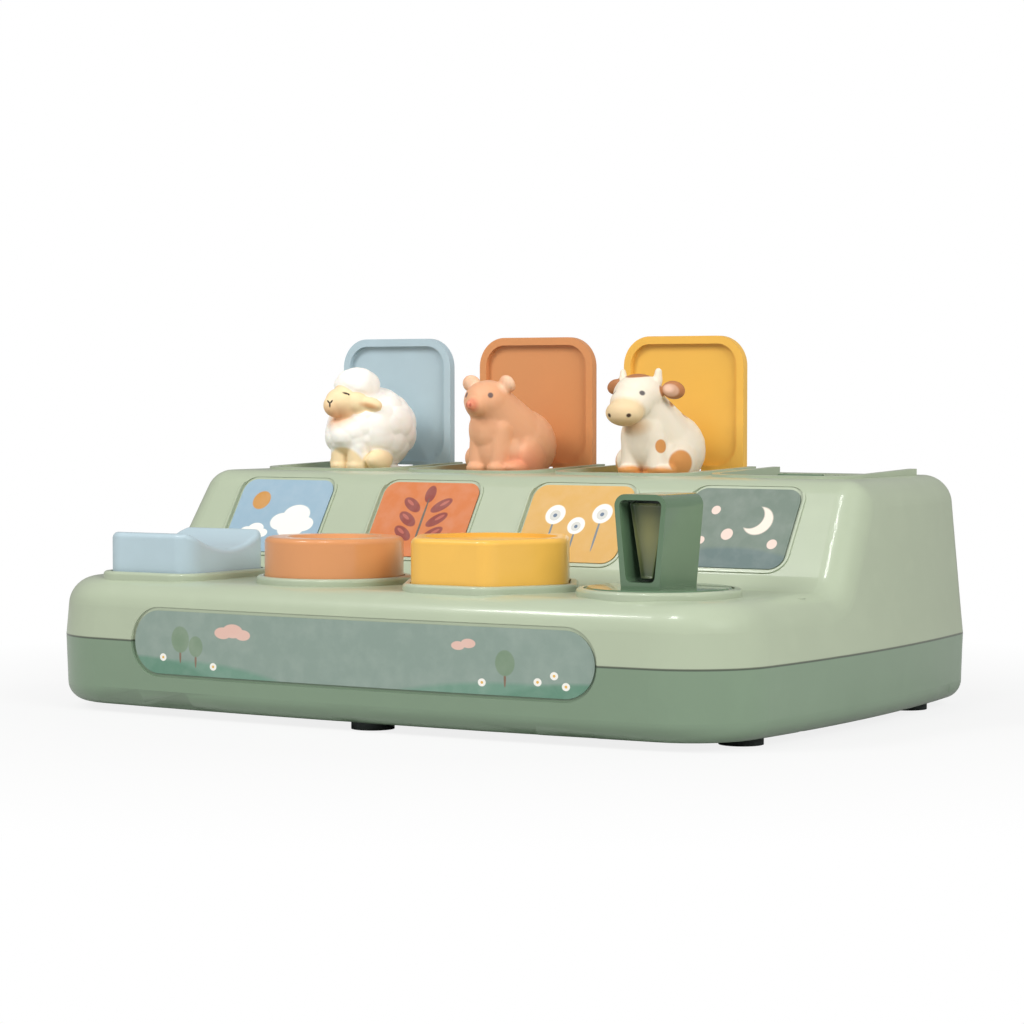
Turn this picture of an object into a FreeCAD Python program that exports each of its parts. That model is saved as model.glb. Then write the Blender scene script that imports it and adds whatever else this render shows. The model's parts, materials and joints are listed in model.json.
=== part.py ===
import FreeCAD
import Part
import Sketcher

import math
import os

from FreeCAD import Vector

# Pop-up animal toy: a two-piece moulded housing with four spring-loaded compartments at the
# back and four different controls at the front, one to each compartment.
# Millimetres, +Z up, +Y to the back. The origin is the centre of the footprint on the table.

os.makedirs("parts", exist_ok=True)
doc = FreeCAD.newDocument("PopUpAnimals")

# how close two places count as one, and how far joined pieces and cutters overlap
SAME = 0.01
NEAR = 0.1
BITE = 1

# ---------------------------------------------------------------- driving dimensions

SIZES = [
    # housing
    ("BodyWidth", 336, "width over the middle of the two sides, at the seam"),
    ("BodyDepth", 234, "depth over the middle of front and back, at the seam"),
    ("FrontBowRadius", 2000, "plan radius of the gently bowed front and back"),
    ("SideBowRadius", 740, "plan radius of the bowed sides"),
    ("FrontCornerRadius", 36, "plan radius of the two front corners"),
    ("RearCornerRadius", 16, "plan radius of the two rear corners"),
    ("WallThickness", 3, "wall of both shells"),
    ("FootHeight", 3, "height of the rubber feet under the tray"),
    ("SeamHeight", 30.5, "height of the joint between tray and upper shell"),
    ("DeckHeight", 54.5, "height of the low front deck"),
    ("RidgeHeight", 96.5, "height of the ridge over the sloping label face"),
    ("FaceFootSetback", 25, "distance from the middle to the foot of the label face"),
    ("FaceLean", 33.4, "lean of the label face from the vertical, in degrees"),
    ("FaceFootRadius", 12, "hollow between deck and label face"),
    ("RidgeRadius", 12, "rounding of the ridge"),
    ("ShellEdgeRadius", 12, "rounding of the upper shell's outer edges"),
    ("ShellDraft", 5.2, "moulding draft of the upper shell, in degrees"),
    ("TrayDraft", 2, "moulding draft of the tray, in degrees"),
    ("TrayEdgeRadius", 8, "rounding of the tray's bottom edge"),
    ("LipHeight", 2.5, "height of the locating lip above the seam"),
    ("LipThickness", 1.2, "thickness of the locating lip"),
    ("LipGap", 0.2, "gap between lip and upper shell"),
    ("LipLedgeDrop", 0.5, "top of the ledge under the lip below the seam"),
    # feet and screws
    ("FootRadius", 8.5, "radius of a rubber foot"),
    ("FootRecess", 0.8, "depth of the recess that holds a foot"),
    ("FootGap", 0.1, "gap between a foot and its recess"),
    ("FootInset", 22, "distance of the corner feet from the sides"),
    ("FrontFootInset", 47, "distance of the front corner feet from the front"),
    ("RearFootInset", 40, "distance of the rear corner feet from the back"),
    ("MiddleFootInset", 17, "distance of the front middle foot from the front"),
    ("RearMiddleFootInset", 31, "distance of the rear middle foot from the back"),
    ("ScrewInset", 13, "distance of the outer screws from the sides"),
    ("ScrewSetback", 45, "distance of the screws in front of and behind the middle"),
    ("MiddleScrewInset", 31, "distance of the front middle screw from the front"),
    ("RearScrewInset", 18, "distance of the rear middle screw from the back"),
    ("ScrewPostRadius", 4.5, "radius of a screw post"),
    ("ScrewRadius", 1.5, "radius of a screw's shank"),
    ("ScrewHeadRadius", 3, "radius of a screw's head"),
    ("ScrewHeadHeight", 2, "height of a screw's head"),
    ("ScrewLength", 34, "length of a screw under its head"),
    # compartments
    ("ChannelPitch", 75, "distance from one compartment to the next"),
    ("OpeningWidth", 60, "width of a compartment's opening in the roof"),
    ("OpeningFront", 22, "front edge of the opening behind the middle"),
    ("OpeningRear", 88, "rear edge of the opening behind the middle"),
    ("OpeningRadius", 13, "front corner radius of the opening"),
    ("OpeningRearRadius", 1, "corner radius of the opening beside the hinge"),
    ("RimWall", 3.5, "width of the raised rim round an opening"),
    ("RimFrontRise", 0.9, "height of the rim over the roof at the front"),
    ("RimRearRise", 2.7, "height of the rim's cheeks over the roof at the hinge"),
    ("LedgeWidth", 3, "width of the ledge inside the opening, at each side of a well"),
    ("WellForward", 2, "middle of a well in front of the middle of its opening"),
    ("WellWall", 1.6, "wall of a well"),
    ("WellRadius", 6, "inner corner radius of a well"),
    ("LedgeDrop", 6, "ledge that a closed lid rests on, below the roof"),
    ("FlangeThickness", 2.2, "thickness of a well's top flange"),
    # lids
    ("LidSideGap", 0.5, "gap between a lid and the opening at each side"),
    ("LidFrontGap", 0.7, "gap between a closed lid and the opening at the front"),
    ("LidOuter", 2, "distance from the hinge axis to the lid's outer face"),
    ("LidInner", 2.5, "distance from the hinge axis to the lid's inner face"),
    ("LidRadius", 13, "corner radius of a lid"),
    ("LidBorder", 3.4, "width of the raised border on the inner face"),
    ("LidRecess", 2.2, "depth of the panel inside the border"),
    ("LidEdgeRadius", 1.2, "rounding of the lid's outer edge"),
    ("HingeInset", 3.5, "hinge axis before the rear edge of the opening"),
    ("HingeDrop", 3, "hinge axis below the roof"),
    ("BarrelRadius", 2.7, "radius of the hinge barrel"),
    ("BarrelMargin", 1.5, "distance from the barrel to the cut-out and border above it"),
    ("PinRadius", 1.2, "radius of a hinge pin"),
    ("PinClearance", 0.05, "radial running clearance of pins and shafts"),
    ("LidSpringRoom", 9, "half width of the room for the lid spring in the barrel"),
    ("LidSpringWire", 0.6, "wire of the lid spring"),
    ("LidSpringRadius", 2.1, "mean radius of the lid spring"),
    ("LidGrooveHalfWidth", 1.2, "half width of the groove for the lid spring's leg"),
    # lifts
    ("LiftGap", 0.3, "gap between a lift and its well on each side"),
    ("LiftHeight", 27.5, "height of a lift from its skirt to its top"),
    ("LiftWall", 1.8, "wall of a lift"),
    ("LiftDrop", 7, "top of a raised lift below the roof"),
    ("LiftTravel", 54, "travel of a lift"),
    ("LiftSpringRadius", 15, "mean radius of a lift spring"),
    ("LiftSpringWire", 1.3, "wire of a lift spring"),
    ("PegRadius", 2, "radius of the pegs under a figure"),
    ("PegSpacing", 16, "distance between the pegs"),
    ("CatchGap", 1.5, "room round a latch's nose in the lift's catch window"),
    # latches
    ("LatchFloor", 18, "underside of a latch bar"),
    ("LatchThickness", 4, "thickness of a latch bar"),
    ("LatchHalfWidth", 7, "half width of a latch bar"),
    ("LatchNoseHalfWidth", 4, "half width of a latch's nose"),
    ("LatchHeadHalfWidth", 10, "half width of a latch's head"),
    ("LatchHeadFront", 95, "front end of a latch before the middle"),
    ("LatchHeadRear", 58, "rear end of a latch's head before the middle"),
    ("LatchTravel", 3, "travel of a latch each way"),
    ("LatchGap", 0.15, "sliding gap round a latch bar"),
    ("LatchFork", 0.4, "gap between a latch and what drives it"),
    ("LatchTaper", 3, "length over which a latch grows narrower"),
    ("NoseGap", 1, "gap round a latch's nose in the wall of its well"),
    ("GuideFront", 44, "front latch guide before the middle"),
    ("GuideRear", 4, "rear latch guide behind the middle"),
    ("GuideThickness", 6, "thickness of a latch guide"),
    ("GuideWall", 3.5, "wall of a latch guide beside and above its slot"),
    ("LatchSpringRadius", 2.4, "mean radius of a latch spring"),
    ("LatchSpringWire", 0.6, "wire of a latch spring"),
    ("LatchSpringLength", 14, "length of a latch spring"),
    ("LatchSpringGap", 0.1, "gap at each end of a latch spring"),
    ("SpringWindowGap", 0.6, "gap between a spring's post and the window at the end of travel"),
    ("SpringPostSetback", 27, "middle of a latch spring's post before the middle"),
    ("SpringPostThickness", 2.5, "thickness of a latch spring's post"),
    # controls
    ("ControlSetback", 73, "middle of the controls before the middle of the housing"),
    ("CollarRise", 2.9, "height of the collars over the deck"),
    ("CollarWall", 2.8, "width of a collar"),
    ("CollarRounding", 1.4, "rounding of a collar's outer top edge"),
    ("ControlGap", 0.6, "gap between a control and its collar"),
    ("RockerWidth", 44, "width of the rocker"),
    ("RockerLength", 54, "length of the rocker"),
    ("RockerAxisDrop", 5.5, "rocker's pin below the deck"),
    ("RockerEndRise", 18.9, "height of the rocker's two ends over the deck"),
    ("RockerValleyRise", 12.1, "height of the rocker's valley over the deck"),
    ("RockerCornerRadius", 8, "plan corner radius of the rocker"),
    ("RockerPinRadius", 1.5, "radius of the rocker's pin"),
    ("RockerSkirt", 2, "depth of the rocker's skirt below its pin"),
    ("RockerEdgeRadius", 2.2, "rounding of the rocker's upper edges"),
    ("RockerSwing", 6, "tilt of the rocker each way, in degrees"),
    ("ControlWall", 2.2, "wall of the hollow controls"),
    ("KnobRadius", 28, "radius of the round knob and of the handle's disc"),
    ("KnobLift", 0.5, "underside of the knob and the disc over the deck"),
    ("KnobHeight", 18, "height of the round knob"),
    ("KnobEdgeRadius", 2.2, "rounding of the knob's upper edge"),
    ("DiscBevel", 1, "bevel of the disc's upper edge"),
    ("KnobDishRadius", 17, "radius of the dish in the knob"),
    ("KnobDishDepth", 2, "depth of the dish in the knob"),
    ("FingerHoleRadius", 5.5, "radius of the knob's finger hollow"),
    ("FingerHoleOffset", 9, "distance of the finger hollow from the knob's axis"),
    ("ShaftRadius", 5, "radius of the two turning shafts"),
    ("ShaftFlangeRadius", 8, "radius of a shaft's retaining flange"),
    ("CrankThrow", 4, "offset of a crank pin"),
    ("CrankPinRadius", 1.5, "radius of a crank pin"),
    ("CrankMargin", 2, "how far the crank's disc stands out from the shaft"),
    ("CrankGap", 1, "gap between the crank's disc and the latch"),
    ("EndPlay", 0.3, "end play of the shafts and of the button under the deck"),
    ("BossDepth", 5.5, "depth of the shaft bosses under the deck"),
    ("TenonWidth", 6.4, "width of a shaft's square tenon"),
    ("TenonGap", 0.05, "gap between a tenon and its socket"),
    ("ButtonFlats", 61, "width of the six-sided button over its flats"),
    ("ButtonRise", 20.5, "height of the six-sided button over the deck"),
    ("ButtonCornerRadius", 9, "corner radius of the six-sided button"),
    ("ButtonDishDepth", 1.5, "depth of the dish in the button"),
    ("ButtonTravel", 4, "travel of the button"),
    ("ButtonFlange", 1.5, "width of the button's retaining flange"),
    ("WedgeGap", 0.2, "gap between the button's wedge and its latch"),
    ("WedgeMargin", 2, "how far the wedge reaches beyond the latch"),
    ("DiscThickness", 2.8, "thickness of the handle's disc"),
    ("GripHeight", 35.2, "height of the handle over its disc"),
    ("GripTopWidth", 23, "width of the handle at the top"),
    ("GripFootWidth", 16.5, "width of the handle at the disc"),
    ("GripDepth", 29, "depth of the handle"),
    ("GripWall", 2.2, "wall of the handle's loop"),
    ("GripRadius", 4.5, "rounding of the handle's loop"),
    ("CoreInset", 5, "how far the core lies behind the loop's edge"),
    ("CoreGap", 0.1, "gap between core and loop"),
    # labels
    ("PanelLabelWidth", 48, "width of a label on the sloping face"),
    ("PanelLabelHeight", 36.4, "height of a label on the sloping face"),
    ("PanelLabelRadius", 6, "corner radius of a label on the sloping face"),
    ("PanelLabelRise", 23.2, "height of the labels' middle over the deck"),
    ("FrontLabelWidth", 216, "width of the pill-shaped front label"),
    ("FrontLabelHeight", 25.4, "height of the pill-shaped front label"),
    ("LabelThickness", 0.4, "thickness of the labels"),
    ("LabelMargin", 1.4, "border of a label's seat round the label"),
    ("BorderWidth", 0.9, "width of the raised border round a panel label's seat"),
    ("BorderRise", 0.5, "height of that border over the face"),
    ("BorderTopDrop", 5, "upper end of that border below the ridge"),
    ("PanelSeatDepth", 0.8, "depth of a panel label's seat"),
    ("FrontSeatInset", 1.6, "inset of the front label's seat from the outline"),
    ("LabelGlue", 0.1, "adhesive under the front label"),
    # figures
    ("FigureHeight", 52, "height of a figure over its lift"),
    ("FigureSole", 0.2, "height of a figure's round forms over its lift"),
    ("RumpRadius", 15.5, "radius of a figure's rump"),
    ("RumpSetback", 5, "middle of the rump behind the middle of the lift"),
    ("ChestRadius", 11.5, "radius of a figure's chest"),
    ("TrunkLength", 17, "distance from the middle of the rump to that of the chest"),
    ("TrunkLean", 35, "lean of the trunk to the front, in degrees"),
    ("HeadRadius", 10.5, "radius of a figure's head"),
    ("HeadHeight", 39.5, "middle of the head over the lift"),
    ("HeadForward", 8, "middle of the head before the middle of the lift"),
    ("MuzzleRadius", 6, "radius of a figure's muzzle"),
    ("MuzzleReach", 10, "distance from the middle of the head to that of the muzzle"),
    ("EarRadius", 3, "radius of an ear"),
    ("EarReach", 12, "length of an ear"),
    ("HornRadius", 1.6, "radius of a horn's tip"),
    ("PigShortfall", 2.6, "how far the pig stays under the other figures"),
    ("FrontLegRadius", 4.3, "radius of a front leg"),
    ("FrontLegSpread", 5.5, "distance of the front legs from the middle"),
    ("FrontLegForward", 11, "distance of the front legs before the middle"),
    ("FrontLegHeight", 22, "height of the front legs"),
    ("ThighRadius", 8, "radius of a hind leg's thigh"),
    ("ThighSpread", 10.5, "distance of the thighs from the middle"),
    ("HindFootRadius", 4, "radius of a hind foot"),
    ("HindFootLength", 13, "distance from the middle of a thigh to that of its foot"),
    ("HindFootDroop", 18, "slope of the hind legs down to the feet, in degrees"),
    ("WoolCapShare", 0.9, "radius of the sheep's cap in radii of the head"),
    ("SheepEarShare", 0.8, "size of the sheep's ears in sizes of the cow's"),
    ("PigSnoutShare", 0.75, "radius of the pig's snout in radii of a muzzle"),
    ("PigEarShare", 0.75, "distance of the pig's ears from the middle in radii of the head"),
    ("CowMuzzleShare", 1.15, "radius of the cow's muzzle in radii of a muzzle"),
    ("CowReachShare", 0.9, "reach of the cow's muzzle in reaches of a muzzle"),
    ("HornShare", 0.7, "distance of the horns from the middle in radii of the head"),
    ("HornRootShare", 1.5, "radius of a horn's root in radii of its tip"),
    ("HenTailShare", 1.2, "length of the hen's beak and tail in those of muzzle and trunk"),
    ("MuzzleDroop", 20, "slope of the sheep's and the cow's muzzle, in degrees"),
    ("SnoutDroop", 10, "slope of the pig's snout, in degrees"),
    ("TailLean", 45, "lean of the hen's tail to the back, in degrees"),
]

sheet = doc.addObject("Spreadsheet::Sheet", "Sizes")
for row, (alias, value, note) in enumerate(SIZES, start=1):
    sheet.set(f"A{row}", note)
    sheet.set(f"B{row}", str(value))
    sheet.setAlias(f"B{row}", alias)
doc.recompute()


class Size:
    """A number together with the spreadsheet expression that it comes from."""

    def __init__(self, number, text):
        self.number = float(number)
        self.text = text

    def __add__(self, other):
        other = as_size(other)
        return Size(self.number + other.number, f"({self.text} + {other.text})")

    def __radd__(self, other):
        return as_size(other) + self

    def __sub__(self, other):
        other = as_size(other)
        return Size(self.number - other.number, f"({self.text} - {other.text})")

    def __rsub__(self, other):
        return as_size(other) - self

    def __mul__(self, other):
        other = as_size(other)
        return Size(self.number * other.number, f"({self.text} * {other.text})")

    def __rmul__(self, other):
        return as_size(other) * self

    def __truediv__(self, other):
        other = as_size(other)
        return Size(self.number / other.number, f"({self.text} / {other.text})")

    def __rtruediv__(self, other):
        return as_size(other) / self

    def __neg__(self):
        return as_size(0) - self


def as_size(value):
    """A Size as it is, and a plain number as a constant."""
    if isinstance(value, Size):
        return value
    return Size(value, f"({value})")


def tangent(angle):
    """The tangent of an angle in degrees."""
    return Size(math.tan(math.radians(angle.number)), f"tan({angle.text} * 1 deg)")


def sine(angle):
    """The sine of an angle in degrees."""
    return Size(math.sin(math.radians(angle.number)), f"sin({angle.text} * 1 deg)")


def cosine(angle):
    """The cosine of an angle in degrees."""
    return Size(math.cos(math.radians(angle.number)), f"cos({angle.text} * 1 deg)")


def root(value):
    """The square root of a value."""
    return Size(math.sqrt(value.number), f"sqrt({value.text})")


def bind(obj, path, value):
    """Tie a property of an object to the spreadsheet."""
    obj.setExpression(path, as_size(value).text)


S = {alias: Size(value, f"Sizes.{alias}") for alias, value, note in SIZES}

# heights and places that follow from the driving dimensions
S["FootSpread"] = S["BodyWidth"] / 2 - S["FootInset"]
S["FrontFootSetback"] = S["BodyDepth"] / 2 - S["FrontFootInset"]
S["RearFootSetback"] = S["BodyDepth"] / 2 - S["RearFootInset"]
S["ScrewSpread"] = S["BodyWidth"] / 2 - S["ScrewInset"]
S["MiddleFootSetback"] = S["BodyDepth"] / 2 - S["MiddleFootInset"]
S["RearMiddleFootSetback"] = S["BodyDepth"] / 2 - S["RearMiddleFootInset"]
S["MiddleScrewSetback"] = S["BodyDepth"] / 2 - S["MiddleScrewInset"]
S["RearScrewSetback"] = S["BodyDepth"] / 2 - S["RearScrewInset"]
S["RimFrontHeight"] = S["RidgeHeight"] + S["RimFrontRise"]
S["RimRearHeight"] = S["RidgeHeight"] + S["RimRearRise"]
S["WellWidth"] = S["OpeningWidth"] - 2 * S["LedgeWidth"]
S["WellSetback"] = (S["OpeningFront"] + S["OpeningRear"]) / 2 - S["WellForward"]
S["LedgeHeight"] = S["RidgeHeight"] - S["LedgeDrop"]
S["LidWidth"] = S["OpeningWidth"] - 2 * S["LidSideGap"]
S["HingeSetback"] = S["OpeningRear"] - S["HingeInset"]
S["HingeHeight"] = S["RidgeHeight"] - S["HingeDrop"]
S["LidReach"] = S["HingeSetback"] - S["OpeningFront"] - S["LidFrontGap"]
S["LiftTop"] = S["RidgeHeight"] - S["LiftDrop"]
S["CollarHeight"] = S["DeckHeight"] + S["CollarRise"]
S["RockerAxis"] = S["DeckHeight"] - S["RockerAxisDrop"]
S["RockerEndHeight"] = S["DeckHeight"] + S["RockerEndRise"]
S["RockerValleyHeight"] = S["DeckHeight"] + S["RockerValleyRise"]
S["KnobFloor"] = S["DeckHeight"] + S["KnobLift"]
S["KnobTop"] = S["KnobFloor"] + S["KnobHeight"]
S["ButtonTop"] = S["DeckHeight"] + S["ButtonRise"]
S["GripTop"] = S["KnobFloor"] + S["DiscThickness"] + S["GripHeight"]
S["PanelLabelCentre"] = S["DeckHeight"] + S["PanelLabelRise"]

# ---------------------------------------------------------------- sketch and feature helpers


def new_body(label):
    body = doc.addObject("PartDesign::Body", label)
    body.Label = label
    return body


def sketch_on(body, role, offset=0):
    """A sketch on one of the body's origin planes, moved along the plane's normal."""
    sketch = body.newObject("Sketcher::SketchObject", "Sketch")
    plane = [item for item in body.Origin.OriginFeatures if item.Role == role][0]
    sketch.AttachmentSupport = [(plane, "")]
    sketch.MapMode = "FlatFace"
    bind(sketch, ".AttachmentOffset.Base.z", offset)
    return sketch


def dimension(sketch, kind, *where):
    """Add a dimension whose last argument is a Size, and tie it to the spreadsheet."""
    *place, value = where
    value = as_size(value)
    index = sketch.addConstraint(Sketcher.Constraint(kind, *place, value.number))
    sketch.setExpression(f"Constraints[{index}]", value.text)


def polygon(sketch, points):
    """A closed polygon; every corner is placed by two dimensions."""
    first = sketch.GeometryCount
    count = len(points)
    corners = [Vector(as_size(x).number, as_size(y).number, 0) for x, y in points]
    for i in range(count):
        sketch.addGeometry(Part.LineSegment(corners[i], corners[(i + 1) % count]), False)
    for i in range(count):
        following = first + (i + 1) % count
        sketch.addConstraint(Sketcher.Constraint("Coincident", first + i, 2, following, 1))
    for i, (x, y) in enumerate(points):
        dimension(sketch, "DistanceX", first + i, 1, x)
        dimension(sketch, "DistanceY", first + i, 1, y)


def rectangle(sketch, left, bottom, right, top):
    polygon(sketch, [(left, bottom), (right, bottom), (right, top), (left, top)])


def circle(sketch, x, y, radius):
    centre = Vector(as_size(x).number, as_size(y).number, 0)
    up = Vector(0, 0, 1)
    index = sketch.addGeometry(Part.Circle(centre, up, as_size(radius).number), False)
    dimension(sketch, "Radius", index, radius)
    dimension(sketch, "DistanceX", index, 3, x)
    dimension(sketch, "DistanceY", index, 3, y)


def rounded_rectangle(sketch, left, bottom, right, top, radius):
    """Four lines and four tangent arcs, counter-clockwise from the bottom line."""
    x0, y0, x1, y1 = (as_size(v).number for v in (left, bottom, right, top))
    r = as_size(radius).number
    up = Vector(0, 0, 1)
    ends = [((x0 + r, y0), (x1 - r, y0)), ((x1, y0 + r), (x1, y1 - r)),
            ((x1 - r, y1), (x0 + r, y1)), ((x0, y1 - r), (x0, y0 + r))]
    centres = [(x1 - r, y0 + r), (x1 - r, y1 - r), (x0 + r, y1 - r), (x0 + r, y0 + r)]
    first = sketch.GeometryCount
    for k in range(4):
        start, end = ends[k]
        sketch.addGeometry(Part.LineSegment(Vector(*start, 0), Vector(*end, 0)), False)
        turn = math.pi / 2 * (k - 1)
        round_edge = Part.Circle(Vector(*centres[k], 0), up, r)
        sketch.addGeometry(Part.ArcOfCircle(round_edge, turn, turn + math.pi / 2), False)
    for k in range(4):
        line, arc, following = first + 2 * k, first + 2 * k + 1, first + (2 * k + 2) % 8
        sketch.addConstraint(Sketcher.Constraint("Tangent", line, 2, arc, 1))
        sketch.addConstraint(Sketcher.Constraint("Tangent", arc, 2, following, 1))
        level = "Horizontal" if k % 2 == 0 else "Vertical"
        sketch.addConstraint(Sketcher.Constraint(level, line))
        if k:
            sketch.addConstraint(Sketcher.Constraint("Equal", first + 1, arc))
    dimension(sketch, "Radius", first + 1, radius)
    dimension(sketch, "DistanceY", first, 1, bottom)
    dimension(sketch, "DistanceX", first + 2, 1, right)
    dimension(sketch, "DistanceY", first + 4, 1, top)
    dimension(sketch, "DistanceX", first + 6, 1, left)


def stadium(sketch, left, bottom, right, top):
    """Two level lines joined by two half circles, counter-clockwise from the bottom line."""
    left, bottom, right, top = (as_size(v) for v in (left, bottom, right, top))
    radius = (top - bottom) / 2
    height = bottom + radius
    starts = (left + radius, right - radius)
    up = Vector(0, 0, 1)
    first = sketch.GeometryCount
    for k, (start, end) in enumerate((starts, starts[::-1])):
        level = (bottom, top)[k].number
        line = Part.LineSegment(Vector(start.number, level, 0), Vector(end.number, level, 0))
        sketch.addGeometry(line, False)
        turn = math.pi * (k - 0.5)
        round_end = Part.Circle(Vector(end.number, height.number, 0), up, radius.number)
        sketch.addGeometry(Part.ArcOfCircle(round_end, turn, turn + math.pi), False)
    for k, end in enumerate(starts[::-1]):
        line, arc, following = first + 2 * k, first + 2 * k + 1, first + (2 * k + 2) % 4
        sketch.addConstraint(Sketcher.Constraint("Tangent", line, 2, arc, 1))
        sketch.addConstraint(Sketcher.Constraint("Tangent", arc, 2, following, 1))
        dimension(sketch, "DistanceX", arc, 3, end)
        dimension(sketch, "DistanceY", arc, 3, height)
    dimension(sketch, "Radius", first + 1, radius)


def pad(body, sketch, length, draft=None, flip=False):
    feature = body.newObject("PartDesign::Pad", "Pad")
    feature.Profile = sketch
    feature.Reversed = flip
    bind(feature, "Length", length)
    if draft is not None:
        bind(feature, "TaperAngle", draft)
    return feature


def pocket(body, sketch, length, flip=False):
    feature = body.newObject("PartDesign::Pocket", "Pocket")
    feature.Profile = sketch
    feature.Reversed = flip
    bind(feature, "Length", length)
    return feature


def revolve(body, sketch):
    feature = body.newObject("PartDesign::Revolution", "Revolution")
    feature.Profile = sketch
    feature.ReferenceAxis = (sketch, ["V_Axis"])
    feature.Angle = 360
    return feature


def round_edges(body, radius, wanted):
    """Fillet every edge of the body that the test picks."""
    doc.recompute()
    base = body.Tip
    names = [f"Edge{i}" for i, edge in enumerate(base.Shape.Edges, start=1) if wanted(edge)]
    if not names:
        raise RuntimeError(f"{body.Label}: no edge to round")
    feature = body.newObject("PartDesign::Fillet", "Fillet")
    feature.Base = (base, names)
    bind(feature, "Radius", radius)
    doc.recompute()
    return feature


def bevel_edges(body, size, wanted):
    """Chamfer every edge of the body that the test picks."""
    doc.recompute()
    base = body.Tip
    names = [f"Edge{i}" for i, edge in enumerate(base.Shape.Edges, start=1) if wanted(edge)]
    feature = body.newObject("PartDesign::Chamfer", "Chamfer")
    feature.Base = (base, names)
    bind(feature, "Size", size)
    doc.recompute()
    return feature


def middle(edge):
    """The point half way along an edge."""
    return edge.valueAt((edge.FirstParameter + edge.LastParameter) / 2)


def is_upright(edge):
    box = edge.BoundBox
    return box.XLength < SAME and box.YLength < SAME


def long_edges(edge):
    """Edges that run straight from front to back."""
    box = edge.BoundBox
    return box.XLength < SAME and box.ZLength < SAME


def place(obj, x=0, y=0, z=0):
    bind(obj, ".Placement.Base.x", x)
    bind(obj, ".Placement.Base.y", y)
    bind(obj, ".Placement.Base.z", z)


def turn(obj, axis, angle):
    """Rotate an object about an axis through its own origin."""
    for name, value in zip("xyz", axis):
        bind(obj, f".Placement.Rotation.Axis.{name}", value)
    bind(obj, ".Placement.Rotation.Angle", angle)


def fused(label, pieces, refine=True):
    """The union of the pieces; refining merges faces that lie in one plane."""
    result = doc.addObject("Part::MultiFuse", label)
    result.Label = label
    result.Shapes = pieces
    result.Refine = refine
    return result


def cut(label, base, tool):
    result = doc.addObject("Part::Cut", label)
    result.Label = label
    result.Base = base
    result.Tool = tool
    result.Refine = True
    return result


def solid_block(label, left, front, low, right, rear, high):
    """A plain block between two corners."""
    block = doc.addObject("Part::Box", label)
    bind(block, "Length", as_size(right) - left)
    bind(block, "Width", as_size(rear) - front)
    bind(block, "Height", as_size(high) - low)
    place(block, left, front, low)
    return block


def solid_cylinder(label, x, y, low, high, radius):
    """A plain upright cylinder."""
    cylinder = doc.addObject("Part::Cylinder", label)
    bind(cylinder, "Radius", radius)
    bind(cylinder, "Height", as_size(high) - low)
    place(cylinder, x, y, low)
    return cylinder


# ---------------------------------------------------------------- shared places

CHANNELS = (0, 1, 2, 3)
ROCKER, KNOB, BUTTON, HANDLE = CHANNELS
CLOSED = 3
REACH = S["BodyWidth"] + S["BodyDepth"]
FLOOR = S["FootHeight"] + S["WallThickness"]
DECK_UNDERSIDE = S["DeckHeight"] - S["WallThickness"]
CONTROL_Y = -S["ControlSetback"]


def channel_x(channel):
    """The middle of a compartment and of its control."""
    return S["ChannelPitch"] * (channel - 1.5)


def corner_arc(inset, side_x, corner_radius, front):
    """Centre of a corner arc that touches a side arc and the front or back arc inside."""
    long_radius = S["FrontBowRadius"].number - inset
    side_radius = S["SideBowRadius"].number - inset
    r = corner_radius - inset
    far = S["FrontBowRadius"].number - S["BodyDepth"].number / 2
    near = S["SideBowRadius"].number - S["BodyWidth"].number / 2
    bow_centre = Vector(0, far if front else -far, 0)
    side_centre = Vector(-side_x * near, 0, 0)
    a, b = long_radius - r, side_radius - r
    between = side_centre - bow_centre
    d = between.Length
    along = (a * a - b * b + d * d) / (2 * d)
    across = math.sqrt(a * a - along * along)
    unit = between * (1 / d)
    normal = Vector(-unit.y, unit.x, 0)
    options = [bow_centre + unit * along + normal * across * s for s in (1, -1)]
    return [p for p in options if p.x * side_x > 0 and (p.y < 0) == front][0]


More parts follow.
